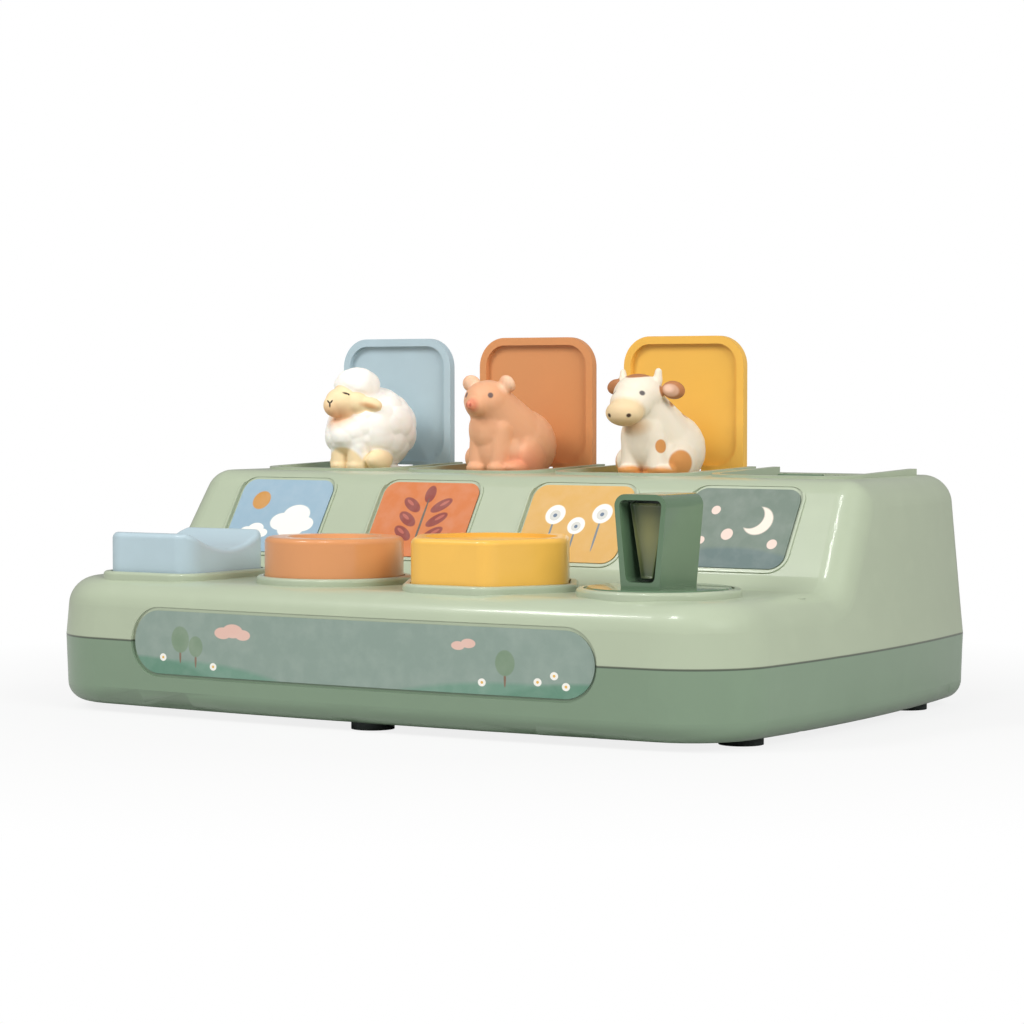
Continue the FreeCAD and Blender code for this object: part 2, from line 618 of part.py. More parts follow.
def bowed_outline(sketch, inset):
    """The housing's plan: four wide arcs joined by four tangent corner arcs."""
    inset = as_size(inset)
    up = Vector(0, 0, 1)
    half_depth, half_width = S["BodyDepth"] / 2, S["BodyWidth"] / 2
    long_radius, side_radius = S["FrontBowRadius"] - inset, S["SideBowRadius"] - inset
    front_corner, rear_corner = S["FrontCornerRadius"] - inset, S["RearCornerRadius"] - inset
    far, near = S["FrontBowRadius"] - half_depth, S["SideBowRadius"] - half_width
    # counter-clockwise from the front: centre x, centre y and radius of each wide arc
    wide = [(as_size(0), far, long_radius), (-near, as_size(0), side_radius),
            (as_size(0), -far, long_radius), (near, as_size(0), side_radius)]
    corners = [(1, True, front_corner), (1, False, rear_corner),
               (-1, False, rear_corner), (-1, True, front_corner)]
    centres = []
    for side, front, radius in corners:
        full = radius.number + inset.number
        centres.append(corner_arc(inset.number, side, full, front))

    def heading(start, end):
        return math.atan2(end.y - start.y, end.x - start.x)

    first = sketch.GeometryCount
    for k in range(4):
        middle_point = Vector(wide[k][0].number, wide[k][1].number, 0)
        before, after = centres[k - 1], centres[k]
        arc = Part.Circle(middle_point, up, wide[k][2].number)
        start, end = heading(middle_point, before), heading(middle_point, after)
        if end < start:
            end += 2 * math.pi
        sketch.addGeometry(Part.ArcOfCircle(arc, start, end), False)
        following = Vector(wide[(k + 1) % 4][0].number, wide[(k + 1) % 4][1].number, 0)
        corner = Part.Circle(after, up, corners[k][2].number)
        start, end = heading(middle_point, after), heading(following, after)
        if end < start:
            end += 2 * math.pi
        sketch.addGeometry(Part.ArcOfCircle(corner, start, end), False)
    for k in range(4):
        arc, corner, following = first + 2 * k, first + 2 * k + 1, first + (2 * k + 2) % 8
        sketch.addConstraint(Sketcher.Constraint("Tangent", arc, 2, corner, 1))
        sketch.addConstraint(Sketcher.Constraint("Tangent", corner, 2, following, 1))
        dimension(sketch, "Radius", arc, wide[k][2])
        dimension(sketch, "DistanceX", arc, 3, wide[k][0])
        dimension(sketch, "DistanceY", arc, 3, wide[k][1])
        dimension(sketch, "Radius", corner, corners[k][2])


# ---------------------------------------------------------------- upper shell


def shell_form(label, inset):
    """The upper shell's outer form, or with an inset the hollow inside it."""
    body = new_body(label)
    inset = as_size(inset)
    outline = sketch_on(body, "XY_Plane", S["SeamHeight"])
    bowed_outline(outline, inset)
    pad(body, outline, S["RidgeHeight"] - inset - S["SeamHeight"], draft=-S["ShellDraft"])
    deck = S["DeckHeight"] - inset
    ridge = S["RidgeHeight"] - inset
    lean = tangent(S["FaceLean"])
    slant = tangent(S["FaceLean"] / 2)
    foot_y = -S["FaceFootSetback"] + inset * slant
    ridge_y = foot_y + (ridge - deck) * lean
    above = ridge + S["DeckHeight"]
    profile = sketch_on(body, "YZ_Plane", REACH / 2)
    polygon(profile, [(-REACH, deck), (foot_y, deck), (ridge_y, ridge), (ridge_y, above),
                      (-REACH, above)])
    pocket(body, profile, REACH)

    def crosswise(edge, y):
        box = edge.BoundBox
        return box.YLength < SAME and box.ZLength < SAME and abs(middle(edge).y - y) < NEAR

    round_edges(body, S["FaceFootRadius"] + inset, lambda e: crosswise(e, foot_y.number))
    round_edges(body, S["RidgeRadius"] - inset, lambda e: crosswise(e, ridge_y.number))

    def on_rim(edge):
        """Edges between the side walls and the deck, the label face or the roof."""
        low = S["SeamHeight"].number + BITE
        box = edge.BoundBox
        if box.ZMin < low:
            return False
        point = middle(edge)
        inside = body.Tip.Shape
        outward = Vector(point.x, point.y, 0).normalize() * BITE
        above = point + Vector(0, 0, BITE)
        return not (inside.isInside(point + outward, SAME, True)
                    or inside.isInside(above, SAME, True)) and not crosswise_free(edge)

    def crosswise_free(edge):
        """Edges that lie inside the deck, face and roof, between the smooth joins."""
        box = edge.BoundBox
        return box.YLength < SAME and box.ZLength < SAME

    round_edges(body, S["ShellEdgeRadius"] - inset, on_rim)
    return body


def opening_block(label, margin, low, high):
    """The plan of the four openings, grown by a margin, between two heights."""
    body = new_body(label)
    plan = sketch_on(body, "XY_Plane", low)
    half = S["OpeningWidth"] / 2 + margin
    front, rear = S["OpeningFront"] - margin, S["OpeningRear"] + margin
    for channel in CHANNELS:
        x = channel_x(channel)
        rectangle(plan, x - half, front, x + half, rear)
    pad(body, plan, as_size(high) - low)
    split = (S["OpeningFront"] + S["OpeningRear"]).number / 2
    round_edges(body, S["OpeningRadius"] + margin,
                lambda e: is_upright(e) and middle(e).y < split)
    round_edges(body, S["OpeningRearRadius"] + margin,
                lambda e: is_upright(e) and middle(e).y > split)
    return body


def rim_frames():
    """The raised rims round the four openings, low in front and high at the hinge."""
    wall = S["RimWall"]
    body = opening_block("rim_frames", wall, S["LedgeHeight"], S["RimRearHeight"] + wall)
    cheek_end = S["OpeningRear"] - wall / 2
    front = S["OpeningFront"] - 2 * wall
    profile = sketch_on(body, "YZ_Plane", REACH / 2)
    polygon(profile, [(front, S["RimFrontHeight"]), (cheek_end, S["RimRearHeight"]),
                      (cheek_end, S["RidgeHeight"]), (REACH, S["RidgeHeight"]),
                      (REACH, 2 * S["RidgeHeight"]), (front, 2 * S["RidgeHeight"])])
    pocket(body, profile, REACH)
    return body


def hexagon(sketch, x, y, flats):
    """A hexagon with a flat side to the front."""
    side = flats / math.sqrt(3)
    half = flats / 2
    polygon(sketch, [(x - side / 2, y - half), (x + side / 2, y - half), (x + side, y),
                     (x + side / 2, y + half), (x - side / 2, y + half), (x - side, y)])


def control_rings(label, growth, low, high):
    """The four control outlines, each grown outwards, between two heights."""
    body = new_body(label)
    plan = sketch_on(body, "XY_Plane", low)
    x = channel_x(ROCKER)
    half_w = S["RockerWidth"] / 2 + growth
    half_l = S["RockerLength"] / 2 + growth + S["ControlGap"]
    rounded_rectangle(plan, x - half_w, CONTROL_Y - half_l, x + half_w, CONTROL_Y + half_l,
                      S["RockerCornerRadius"] + growth)
    for channel in (KNOB, HANDLE):
        circle(plan, channel_x(channel), CONTROL_Y, S["KnobRadius"] + growth)
    hexagon(plan, channel_x(BUTTON), CONTROL_Y, S["ButtonFlats"] + 2 * growth)
    pad(body, plan, as_size(high) - low)
    corner = ((S["ButtonFlats"] + 2 * growth) / math.sqrt(3)).number
    round_edges(body, S["ButtonCornerRadius"] + growth,
                lambda e: is_upright(e)
                and abs(middle(e).x - channel_x(BUTTON).number) < corner + BITE)
    return body


def deck_bores():
    """What goes through the deck: rocker and button openings and the two shaft bores."""
    low = DECK_UNDERSIDE - S["BossDepth"] - BITE
    pieces = []
    x = channel_x(ROCKER)
    body = new_body("rocker_and_button_openings")
    plan = sketch_on(body, "XY_Plane", low)
    half_w = S["RockerWidth"] / 2 + S["ControlGap"]
    half_l = S["RockerLength"] / 2 + 2 * S["ControlGap"]
    rounded_rectangle(plan, x - half_w, CONTROL_Y - half_l, x + half_w, CONTROL_Y + half_l,
                      S["RockerCornerRadius"] + S["ControlGap"])
    hexagon(plan, channel_x(BUTTON), CONTROL_Y, S["ButtonFlats"] + 2 * S["ControlGap"])
    pad(body, plan, S["RidgeHeight"] - low)
    round_edges(body, S["ButtonCornerRadius"] + S["ControlGap"],
                lambda e: is_upright(e) and middle(e).x > 0)
    pieces.append(body)
    for channel in (KNOB, HANDLE):
        pieces.append(solid_cylinder("shaft_bore", channel_x(channel), CONTROL_Y, low,
                                     S["RidgeHeight"], S["ShaftRadius"] + S["PinClearance"]))
    half = S["KnobRadius"] + S["ControlGap"]
    for channel in (KNOB, HANDLE):
        pieces.append(solid_cylinder("knob_seat", channel_x(channel), CONTROL_Y, S["DeckHeight"],
                                     S["RidgeHeight"], half))
    return pieces


def pin_lugs():
    """Two lugs under the deck that hold the rocker's pin."""
    x = channel_x(ROCKER)
    inner = S["RockerWidth"] / 2 + S["ControlGap"]
    outer = inner + S["RimWall"]
    low = S["RockerAxis"] - S["RimWall"] - BITE
    lugs = []
    for side in (-1, 1):
        left = x + (side * inner if side > 0 else -outer)
        lugs.append(solid_block("pin_lug", left, CONTROL_Y - S["ShaftRadius"], low,
                                left + S["RimWall"], CONTROL_Y + S["ShaftRadius"],
                                DECK_UNDERSIDE + BITE))
    return lugs


def crosswise_rod(label, x, y, z, half_length, radius):
    """A rod along X, with its middle at the given point."""
    body = new_body(label)
    section = sketch_on(body, "YZ_Plane", -half_length)
    circle(section, 0, 0, radius)
    pad(body, section, 2 * half_length)
    place(body, x, y, z)
    return body


SCREW_PLACES = [(sx * S["ScrewSpread"], sy * S["ScrewSetback"]) for sx in (-1, 1)
                for sy in (-1, 1)]
SCREW_PLACES += [(as_size(0), -S["MiddleScrewSetback"]), (as_size(0), S["RearScrewSetback"])]


def screw_posts():
    """Posts inside the upper shell that take the screws, from the seam up to the skin."""
    posts = []
    for x, y in SCREW_PLACES:
        skin = S["DeckHeight"] - BITE
        if y.number > 0:
            skin = S["RidgeHeight"] - 2 * S["WallThickness"]
            if not x.number:
                skin = skin + S["WallThickness"] + BITE
        posts.append(solid_cylinder("screw_post", x, y, S["SeamHeight"], skin,
                                    S["ScrewPostRadius"]))
    return posts


def label_face_sketch(body, depth):
    """A sketch on the sloping label face, sunk by a depth along the face's normal."""
    sketch = body.newObject("Sketcher::SketchObject", "Sketch")
    plane = [item for item in body.Origin.OriginFeatures if item.Role == "XY_Plane"][0]
    sketch.AttachmentSupport = [(plane, "")]
    sketch.MapMode = "FlatFace"
    lean = S["FaceLean"]
    rise = S["PanelLabelCentre"] - S["DeckHeight"]
    depth = as_size(depth)
    bind(sketch, ".AttachmentOffset.Rotation.Angle", 90 - lean)
    bind(sketch, ".AttachmentOffset.Rotation.Axis.x", 1)
    bind(sketch, ".AttachmentOffset.Rotation.Axis.y", 0)
    bind(sketch, ".AttachmentOffset.Rotation.Axis.z", 0)
    y = rise * tangent(lean) - S["FaceFootSetback"] + depth * cosine(lean)
    z = S["PanelLabelCentre"] - depth * sine(lean)
    bind(sketch, ".AttachmentOffset.Base.y", y)
    bind(sketch, ".AttachmentOffset.Base.z", z)
    return sketch


def panel_label_shape(sketch, channel, margin):
    half_w = S["PanelLabelWidth"] / 2 + margin
    half_h = S["PanelLabelHeight"] / 2 + margin
    x = channel_x(channel)
    rounded_rectangle(sketch, x - half_w, -half_h, x + half_w, half_h,
                      S["PanelLabelRadius"] + margin)


def panel_seats():
    """Shallow seats in the sloping face for the four labels."""
    body = new_body("panel_seats")
    plan = label_face_sketch(body, S["PanelSeatDepth"])
    for channel in CHANNELS:
        panel_label_shape(plan, channel, S["LabelMargin"])
    pad(body, plan, S["WallThickness"])
    return body


def label_borders():
    """Fine raised borders beside and under the seats, up to the rounded ridge."""
    body = new_body("label_borders")
    plan = label_face_sketch(body, S["PanelSeatDepth"])
    for channel in CHANNELS:
        panel_label_shape(plan, channel, S["LabelMargin"] + S["BorderWidth"])
    pad(body, plan, S["PanelSeatDepth"] + S["BorderRise"])
    result = doc.addObject("Part::MultiCommon", "label_borders_on_the_face")
    result.Shapes = [body, solid_block("label_face_room", -REACH, -REACH, 0, REACH, REACH,
                                       S["RidgeHeight"] - S["BorderTopDrop"])]
    return result


def front_pill(label, margin, inner_inset, outer_inset):
    """A pill-shaped slice of the bowed front, between two insets of the outline."""
    body = new_body(label)
    section = sketch_on(body, "XZ_Plane", 0)
    half_w = S["FrontLabelWidth"] / 2 + margin
    half_h = S["FrontLabelHeight"] / 2 + margin
    seam = S["SeamHeight"]
    stadium(section, -half_w, seam - half_h, half_w, seam + half_h)
    pad(body, section, S["BodyDepth"])
    core = new_body(label + "_core")
    plan = sketch_on(core, "XY_Plane", -S["SeamHeight"])
    bowed_outline(plan, inner_inset)
    pad(core, plan, S["RidgeHeight"])
    slice_out = cut(label + "_slice", body, core)
    if outer_inset is None:
        return slice_out
    skin = new_body(label + "_skin")
    plan = sketch_on(skin, "XY_Plane", -S["SeamHeight"])
    bowed_outline(plan, outer_inset)
    pad(skin, plan, S["RidgeHeight"])
    result = doc.addObject("Part::MultiCommon", label + "_common")
    result.Shapes = [slice_out, skin]
    return result


def make_upper_shell():
    hollow = cut("shell_walls", shell_form("shell_outer", 0),
                 shell_form("shell_inner", S["WallThickness"]))
    collars = control_rings("collars", S["ControlGap"] + S["CollarWall"],
                            S["DeckHeight"] - BITE, S["CollarHeight"])
    bosses = [solid_cylinder("shaft_boss", channel_x(channel), CONTROL_Y,
                             DECK_UNDERSIDE - S["BossDepth"], S["DeckHeight"] - BITE,
                             S["ShaftRadius"] + S["CollarWall"] + S["PinClearance"])
              for channel in (KNOB, HANDLE)]
    top = S["CollarHeight"].number
    round_edges(collars, S["CollarRounding"], lambda e: e.BoundBox.ZMin > top - SAME)
    body = fused("shell_with_details",
                 [hollow, label_borders(), rim_frames(), collars] + bosses + pin_lugs()
                 + screw_posts())
    pins = [crosswise_rod("hinge_pin_bore", channel_x(channel), S["HingeSetback"],
                          S["HingeHeight"], S["OpeningWidth"] / 2 + S["RimWall"] - BITE,
                          S["PinRadius"]) for channel in CHANNELS]
    pins.append(crosswise_rod("rocker_pin_bore", channel_x(ROCKER), CONTROL_Y, S["RockerAxis"],
                              S["RockerWidth"] / 2 + S["RimWall"], S["RockerPinRadius"]))
    screws = [solid_cylinder("screw_bore", x, y, S["SeamHeight"] - BITE,
                             S["FootHeight"] + S["ScrewLength"] + S["ScrewHeadRadius"] + BITE,
                             S["ScrewRadius"]) for x, y in SCREW_PLACES]
    cutters = fused("shell_cutters",
                    [opening_block("openings", 0, S["LedgeHeight"] - BITE,
                                   2 * S["RidgeHeight"])]
                    + deck_bores() + pins + screws + [panel_seats()])
    seat = front_pill("upper_pill_seat", S["LabelMargin"], S["FrontSeatInset"], None)
    return cut("upper_shell", cut("bored_shell", body, cutters), seat)


# ---------------------------------------------------------------- base tray

FOOT_PLACES = [(sx * S["FootSpread"], sy) for sx in (-1, 1)
               for sy in (-S["FrontFootSetback"], S["RearFootSetback"])]
FOOT_PLACES += [(as_size(0), -S["MiddleFootSetback"]), (as_size(0), S["RearMiddleFootSetback"])]


def tray_form(label, inset):
    """The tray's outer form, or with an inset the hollow inside it."""
    body = new_body(label)
    inset = as_size(inset)
    outline = sketch_on(body, "XY_Plane", S["SeamHeight"])
    bowed_outline(outline, inset)
    pad(body, outline, S["SeamHeight"] - S["FootHeight"] - inset, draft=-S["TrayDraft"],
        flip=True)
    low = (S["FootHeight"] + inset).number
    finish = bevel_edges if inset.number else round_edges
    finish(body, S["TrayEdgeRadius"] - inset, lambda e: abs(middle(e).z - low) < NEAR)
    return body


def outline_ring(label, outer_inset, inner_inset, low, high):
    """A thin upright wall that follows the plan."""
    outer = new_body(label + "_outer")
    plan = sketch_on(outer, "XY_Plane", low)
    bowed_outline(plan, outer_inset)
    pad(outer, plan, as_size(high) - low)
    inner = new_body(label + "_inner")
    plan = sketch_on(inner, "XY_Plane", low - BITE)
    bowed_outline(plan, inner_inset)
    pad(inner, plan, as_size(high) - low + 2 * BITE)
    return cut(label, outer, inner)


def latch_guides(channel):
    """Two bridges that guide a latch bar, and the post that its spring pushes on."""
    x = channel_x(channel)
    half = S["LatchHalfWidth"] + S["GuideWall"]
    top = S["LatchFloor"] + S["LatchThickness"] + S["GuideWall"]
    low = FLOOR - BITE
    blocks = []
    for y in (-S["GuideFront"], S["GuideRear"]):
        blocks.append(solid_block("latch_guide", x - half, y - S["GuideThickness"] / 2, low,
                                  x + half, y + S["GuideThickness"] / 2, top))
    y = -S["SpringPostSetback"]
    blocks.append(solid_block("spring_post", x - S["LatchSpringRadius"],
                              y - S["SpringPostThickness"] / 2, low,
                              x + S["LatchSpringRadius"], y + S["SpringPostThickness"] / 2, top))
    return blocks


def latch_slots(channel):
    x = channel_x(channel)
    half = S["LatchHalfWidth"] + S["LatchGap"]
    low = S["LatchFloor"] - S["LatchGap"]
    high = S["LatchFloor"] + S["LatchThickness"] + S["LatchGap"]
    return [solid_block("latch_slot", x - half, y - S["GuideThickness"], low, x + half,
                        y + S["GuideThickness"], high)
            for y in (-S["GuideFront"], S["GuideRear"])]


def make_base_tray():
    hollow = cut("tray_walls", tray_form("tray_outer", 0),
                 tray_form("tray_inner", S["WallThickness"]))
    lip_inset = S["WallThickness"] + S["LipGap"] + S["LipHeight"] * tangent(S["ShellDraft"])
    lip = outline_ring("lip", lip_inset, lip_inset + S["LipThickness"],
                       S["SeamHeight"] - 2 * S["LipHeight"], S["SeamHeight"] + S["LipHeight"])
    ledge = outline_ring("lip_ledge", S["WallThickness"] - BITE,
                         lip_inset + S["LipThickness"], S["SeamHeight"] - 2 * S["LipHeight"],
                         S["SeamHeight"] - S["LipLedgeDrop"])
    pieces = [hollow, lip, ledge]
    cutters = []
    for channel in CHANNELS:
        pieces += latch_guides(channel)
        cutters += latch_slots(channel)
        ring_radius = S["LiftSpringRadius"] - 2 * S["LiftSpringWire"]
        x = channel_x(channel)
        pieces.append(solid_cylinder("spring_seat", x, S["WellSetback"], FLOOR - BITE,
                                     FLOOR + S["WallThickness"], ring_radius))
        cutters.append(solid_cylinder("spring_seat_hollow", x, S["WellSetback"], FLOOR,
                                      FLOOR + 2 * S["WallThickness"],
                                      ring_radius - S["WellWall"]))
    for x, y in SCREW_PLACES:
        pieces.append(solid_cylinder("screw_tower", x, y, FLOOR - BITE, S["SeamHeight"],
                                     S["ScrewPostRadius"]))
        head_seat = S["FootHeight"] + S["ScrewHeadRadius"]
        cutters.append(solid_cylinder("screw_hole", x, y, 0, S["SeamHeight"] + BITE,
                                      S["ScrewRadius"] + S["LatchGap"]))
        cutters.append(solid_cylinder("screw_head_hole", x, y, 0, head_seat,
                                      S["ScrewHeadRadius"] + S["LatchGap"]))
    for x, y in FOOT_PLACES:
        cutters.append(solid_cylinder("foot_recess", x, y, 0, S["FootHeight"] + S["FootRecess"],
                                      S["FootRadius"] + S["FootGap"]))
    bored = cut("bored_tray", fused("tray_with_details", pieces), fused("tray_cutters", cutters))
    seat = front_pill("lower_pill_seat", S["LabelMargin"], S["FrontSeatInset"], None)
    return cut("base_tray", bored, seat)


def make_feet():
    feet = []
    for x, y in FOOT_PLACES:
        feet.append(solid_cylinder("foot", x, y, 0, S["FootHeight"] + S["FootRecess"],
                                   S["FootRadius"]))
    return fused("rubber_feet", feet)


def make_screws():
    screws = []
    for x, y in SCREW_PLACES:
        head_seat = S["FootHeight"] + S["ScrewHeadRadius"]
        screws.append(solid_cylinder("screw_shank", x, y, head_seat - BITE,
                                     head_seat + S["ScrewLength"], S["ScrewRadius"]))
        screws.append(solid_cylinder("screw_head", x, y, head_seat - S["ScrewHeadHeight"],
                                     head_seat, S["ScrewHeadRadius"]))
    return fused("housing_screws", screws)


# ---------------------------------------------------------------- wells, lids and lifts


def make_well(channel):
    """An open square tube with a top flange; the latch's nose comes in at the front."""
    body = new_body(f"well_{channel + 1}")
    half = S["WellWidth"] / 2
    outer = half + S["WellWall"]
    x, y = channel_x(channel), S["WellSetback"]
    plan = sketch_on(body, "XY_Plane", FLOOR)
    rounded_rectangle(plan, -outer, -outer, outer, outer, S["WellRadius"] + S["WellWall"])
    pad(body, plan, S["LedgeHeight"] - FLOOR)
    flange = sketch_on(body, "XY_Plane", S["LedgeHeight"] - S["FlangeThickness"])
    half_w = S["OpeningWidth"] / 2 + S["RimWall"]
    front = S["OpeningFront"] - S["RimWall"] - y
    rear = S["OpeningRear"] + S["RimWall"] - y
    rectangle(flange, -half_w, front, half_w, rear)
    pad(body, flange, S["FlangeThickness"])
    edge = half_w.number - NEAR
    round_edges(body, S["OpeningRadius"] + S["RimWall"],
                lambda e: is_upright(e) and abs(middle(e).x) > edge and middle(e).y < 0)
    inside = sketch_on(body, "XY_Plane", S["LedgeHeight"])
    rounded_rectangle(inside, -half, -half, half, half, S["WellRadius"])
    pocket(body, inside, S["LedgeHeight"])
    notch = sketch_on(body, "XY_Plane", S["LedgeHeight"])
    rectangle(notch, -S["LidSpringRoom"], half - BITE, S["LidSpringRoom"],
              S["HingeSetback"] + S["BarrelRadius"] + BITE - y)
    pocket(body, notch, 2 * S["FlangeThickness"])
    slot = sketch_on(body, "XZ_Plane", half - BITE)
    side = S["LatchNoseHalfWidth"] + S["NoseGap"]
    rectangle(slot, -side, S["LatchFloor"] - S["NoseGap"], side,
              S["LatchFloor"] + S["LatchThickness"] + S["NoseGap"])
    pocket(body, slot, S["WellWall"] + 2 * BITE, flip=True)
    place(body, x, y, 0)
    return body


def make_lid(channel):
    """A lid standing open, built round its hinge axis."""
    body = new_body(f"lid_{channel + 1}")
    half = S["LidWidth"] / 2
    plate = sketch_on(body, "XZ_Plane", -S["LidOuter"])
    rectangle(plate, -half, 0, half, S["LidReach"])
    pad(body, plate, S["LidOuter"] + S["LidInner"])
    top = S["LidReach"].number
    round_edges(body, S["LidRadius"],
                lambda e: long_edges(e) and middle(e).z > top - NEAR)
    barrel = sketch_on(body, "YZ_Plane", -half)
    circle(barrel, 0, 0, S["BarrelRadius"])
    pad(body, barrel, S["LidWidth"])
    bore = sketch_on(body, "YZ_Plane", half)
    circle(bore, 0, 0, S["PinRadius"] + S["PinClearance"])
    pocket(body, bore, S["LidWidth"])
    room = sketch_on(body, "XZ_Plane", -2 * S["BarrelRadius"])
    above_barrel = S["BarrelRadius"] + S["BarrelMargin"]
    rectangle(room, -S["LidSpringRoom"], -2 * S["BarrelRadius"], S["LidSpringRoom"],
              above_barrel)
    pocket(body, room, 4 * S["BarrelRadius"], flip=True)
    panel = sketch_on(body, "XZ_Plane", S["LidInner"])
    border = S["LidBorder"]
    low = above_barrel + border / 2
    rounded_rectangle(panel, -half + border, low, half - border, S["LidReach"] - border,
                      S["LidRadius"] - border)
    pocket(body, panel, S["LidRecess"])
    groove = sketch_on(body, "XZ_Plane", S["LidInner"])
    rectangle(groove, -S["LidGrooveHalfWidth"], S["BarrelRadius"], S["LidGrooveHalfWidth"],
              low + BITE)
    pocket(body, groove, S["LidRecess"])
    outer, clear = S["LidOuter"].number, (above_barrel + S["BarrelMargin"]).number
    round_edges(body, S["LidEdgeRadius"],
                lambda e: abs(middle(e).y - outer) < SAME and e.BoundBox.YLength < SAME
                and middle(e).z > clear)
    stand(body, channel)
    return body


def stand(body, channel):
    """Put a piece built round the hinge axis in its place; the last lid lies closed."""
    place(body, channel_x(channel), S["HingeSetback"], S["HingeHeight"])
    turn(body, (1, 0, 0), 90 if channel == CLOSED else 0)


def make_lid_pin(channel):
    half = S["OpeningWidth"] / 2 + S["RimWall"] - BITE
    return crosswise_rod(f"lid_pin_{channel + 1}", channel_x(channel), S["HingeSetback"],
                         S["HingeHeight"], half, S["PinRadius"])


def lift_top(channel):
    """The lift's top face: up behind an open lid, down under the closed one."""
    if channel == CLOSED:
        return S["LiftTop"] - S["LiftTravel"]
    return S["LiftTop"]


def make_lift(channel):
    """A cup that slides in its well upside down, with a catch window for the latch."""
    body = new_body(f"lift_{channel + 1}")
    half = S["WellWidth"] / 2 - S["LiftGap"]
    inner = half - S["LiftWall"]
    plan = sketch_on(body, "XY_Plane", 0)
    rounded_rectangle(plan, -half, -half, half, half, S["WellRadius"])
    pad(body, plan, S["LiftHeight"], flip=True)
    inside = sketch_on(body, "XY_Plane", -S["LiftWall"])
    rounded_rectangle(inside, -inner, -inner, inner, inner, S["WellRadius"] - S["LiftWall"])
    pocket(body, inside, S["LiftHeight"])
    pegs = sketch_on(body, "XY_Plane", 0)
    for side in (-1, 1):
        circle(pegs, side * S["PegSpacing"] / 2, 0, S["PegRadius"] + S["PinClearance"])
    pocket(body, pegs, 2 * S["LiftWall"])
    down = S["LiftTop"] - S["LiftTravel"]
    window = sketch_on(body, "XZ_Plane", half)
    side = S["LatchNoseHalfWidth"] + S["CatchGap"]
    low = S["LatchFloor"] - S["CatchGap"] - down
    rectangle(window, -side, low, side, low + S["LatchThickness"] + 2 * S["CatchGap"])
    pocket(body, window, 2 * S["LiftWall"])
    place(body, channel_x(channel), S["WellSetback"], lift_top(channel))
    return body


COIL_SIDES = 8
LIFT_SPRING_TURNS = 5
LID_SPRING_TURNS = 3.5
LATCH_SPRING_TURNS = 4
LEG_ROOM = 2 * S["BarrelRadius"]


def coil(radius, wire, turns, length, leg=0):
    """A clockwise spring of square wire along +Z on a many-sided path, with an end leg along Y."""
    points = []
    for k in range(int(turns * COIL_SIDES) + 1):
        angle = -2 * math.pi * k / COIL_SIDES
        points.append(Vector(radius * math.cos(angle), radius * math.sin(angle),
                             length * k / (turns * COIL_SIDES)))
    if leg:
        points.append(points[-1] + Vector(0, leg, 0))
    path = Part.makePolygon(points)
    forward = (points[1] - points[0]).normalize()
    side = forward.cross(Vector(0, 0, 1))
    if side.Length < NEAR:
        side = forward.cross(Vector(1, 0, 0))
    side.normalize()
    other = forward.cross(side)
    half = wire / 2
    ring = [points[0] + side * half * a + other * half * b
            for a, b in ((1, 1), (-1, 1), (-1, -1), (1, -1))]
    profile = Part.makePolygon(ring + ring[:1])
    return Part.Wire(path.Edges).makePipeShell([profile], True, False, 1)


def spring_feature(label, shape, placement):
    spring = doc.addObject("Part::Feature", label)
    spring.Label = label
    spring.Shape = shape
    spring.Placement = placement
    return spring


def make_lift_spring(channel):
    wire = S["LiftSpringWire"].number
    low = FLOOR.number + wire
    high = lift_top(channel).number - S["LiftWall"].number - wire
    shape = coil(S["LiftSpringRadius"].number, wire, LIFT_SPRING_TURNS, high - low)
    where = Vector(channel_x(channel).number, S["WellSetback"].number, low)
    return spring_feature(f"lift_spring_{channel + 1}", shape,
                          FreeCAD.Placement(where, FreeCAD.Rotation()))


def make_lid_spring(channel):
    """Coil round the hinge pin; its long leg lies in the lid's groove."""
    wire = S["LidSpringWire"].number
    radius = S["LidSpringRadius"].number
    span = 2 * LID_SPRING_TURNS * wire
    leg = LEG_ROOM.number + S["LidBorder"].number
    shape = coil(radius, wire, LID_SPRING_TURNS, span, leg)
    # the coil's axis turns from Z to X, and the leg from Y to Z
    turn = FreeCAD.Rotation(Vector(1, 1, 1), 120)
    if channel == CLOSED:
        turn = FreeCAD.Rotation(Vector(1, 0, 0), 90).multiply(turn)
    where = Vector(channel_x(channel).number - span, S["HingeSetback"].number,
                   S["HingeHeight"].number)
    return spring_feature(f"lid_spring_{channel + 1}", shape, FreeCAD.Placement(where, turn))


# ---------------------------------------------------------------- latches

SPRING_START = S["SpringPostThickness"] / 2 - S["SpringPostSetback"]
SPRING_END = SPRING_START + S["LatchSpringLength"]


def driver_slots(body, channel):
    """The hole in a latch's head that its control works in."""
    high = S["LatchFloor"] + S["LatchThickness"]
    gap = S["LatchFork"]
    y = CONTROL_Y
    if channel == BUTTON:
        return
    hole = sketch_on(body, "XY_Plane", high)
    if channel == ROCKER:
        half = S["ControlWall"] + gap
        side = S["ShaftRadius"] + S["NoseGap"]
        rectangle(hole, -side, y - half, side, y + half)
    else:
        half = S["CrankPinRadius"] + gap
        left = S["CrankThrow"] / 2 - half
        stadium(hole, left, y - half, S["CrankThrow"] + half, y + half)
    pocket(body, hole, S["LatchThickness"])


WEDGE_SLOPE = S["ButtonTravel"] / S["LatchTravel"]


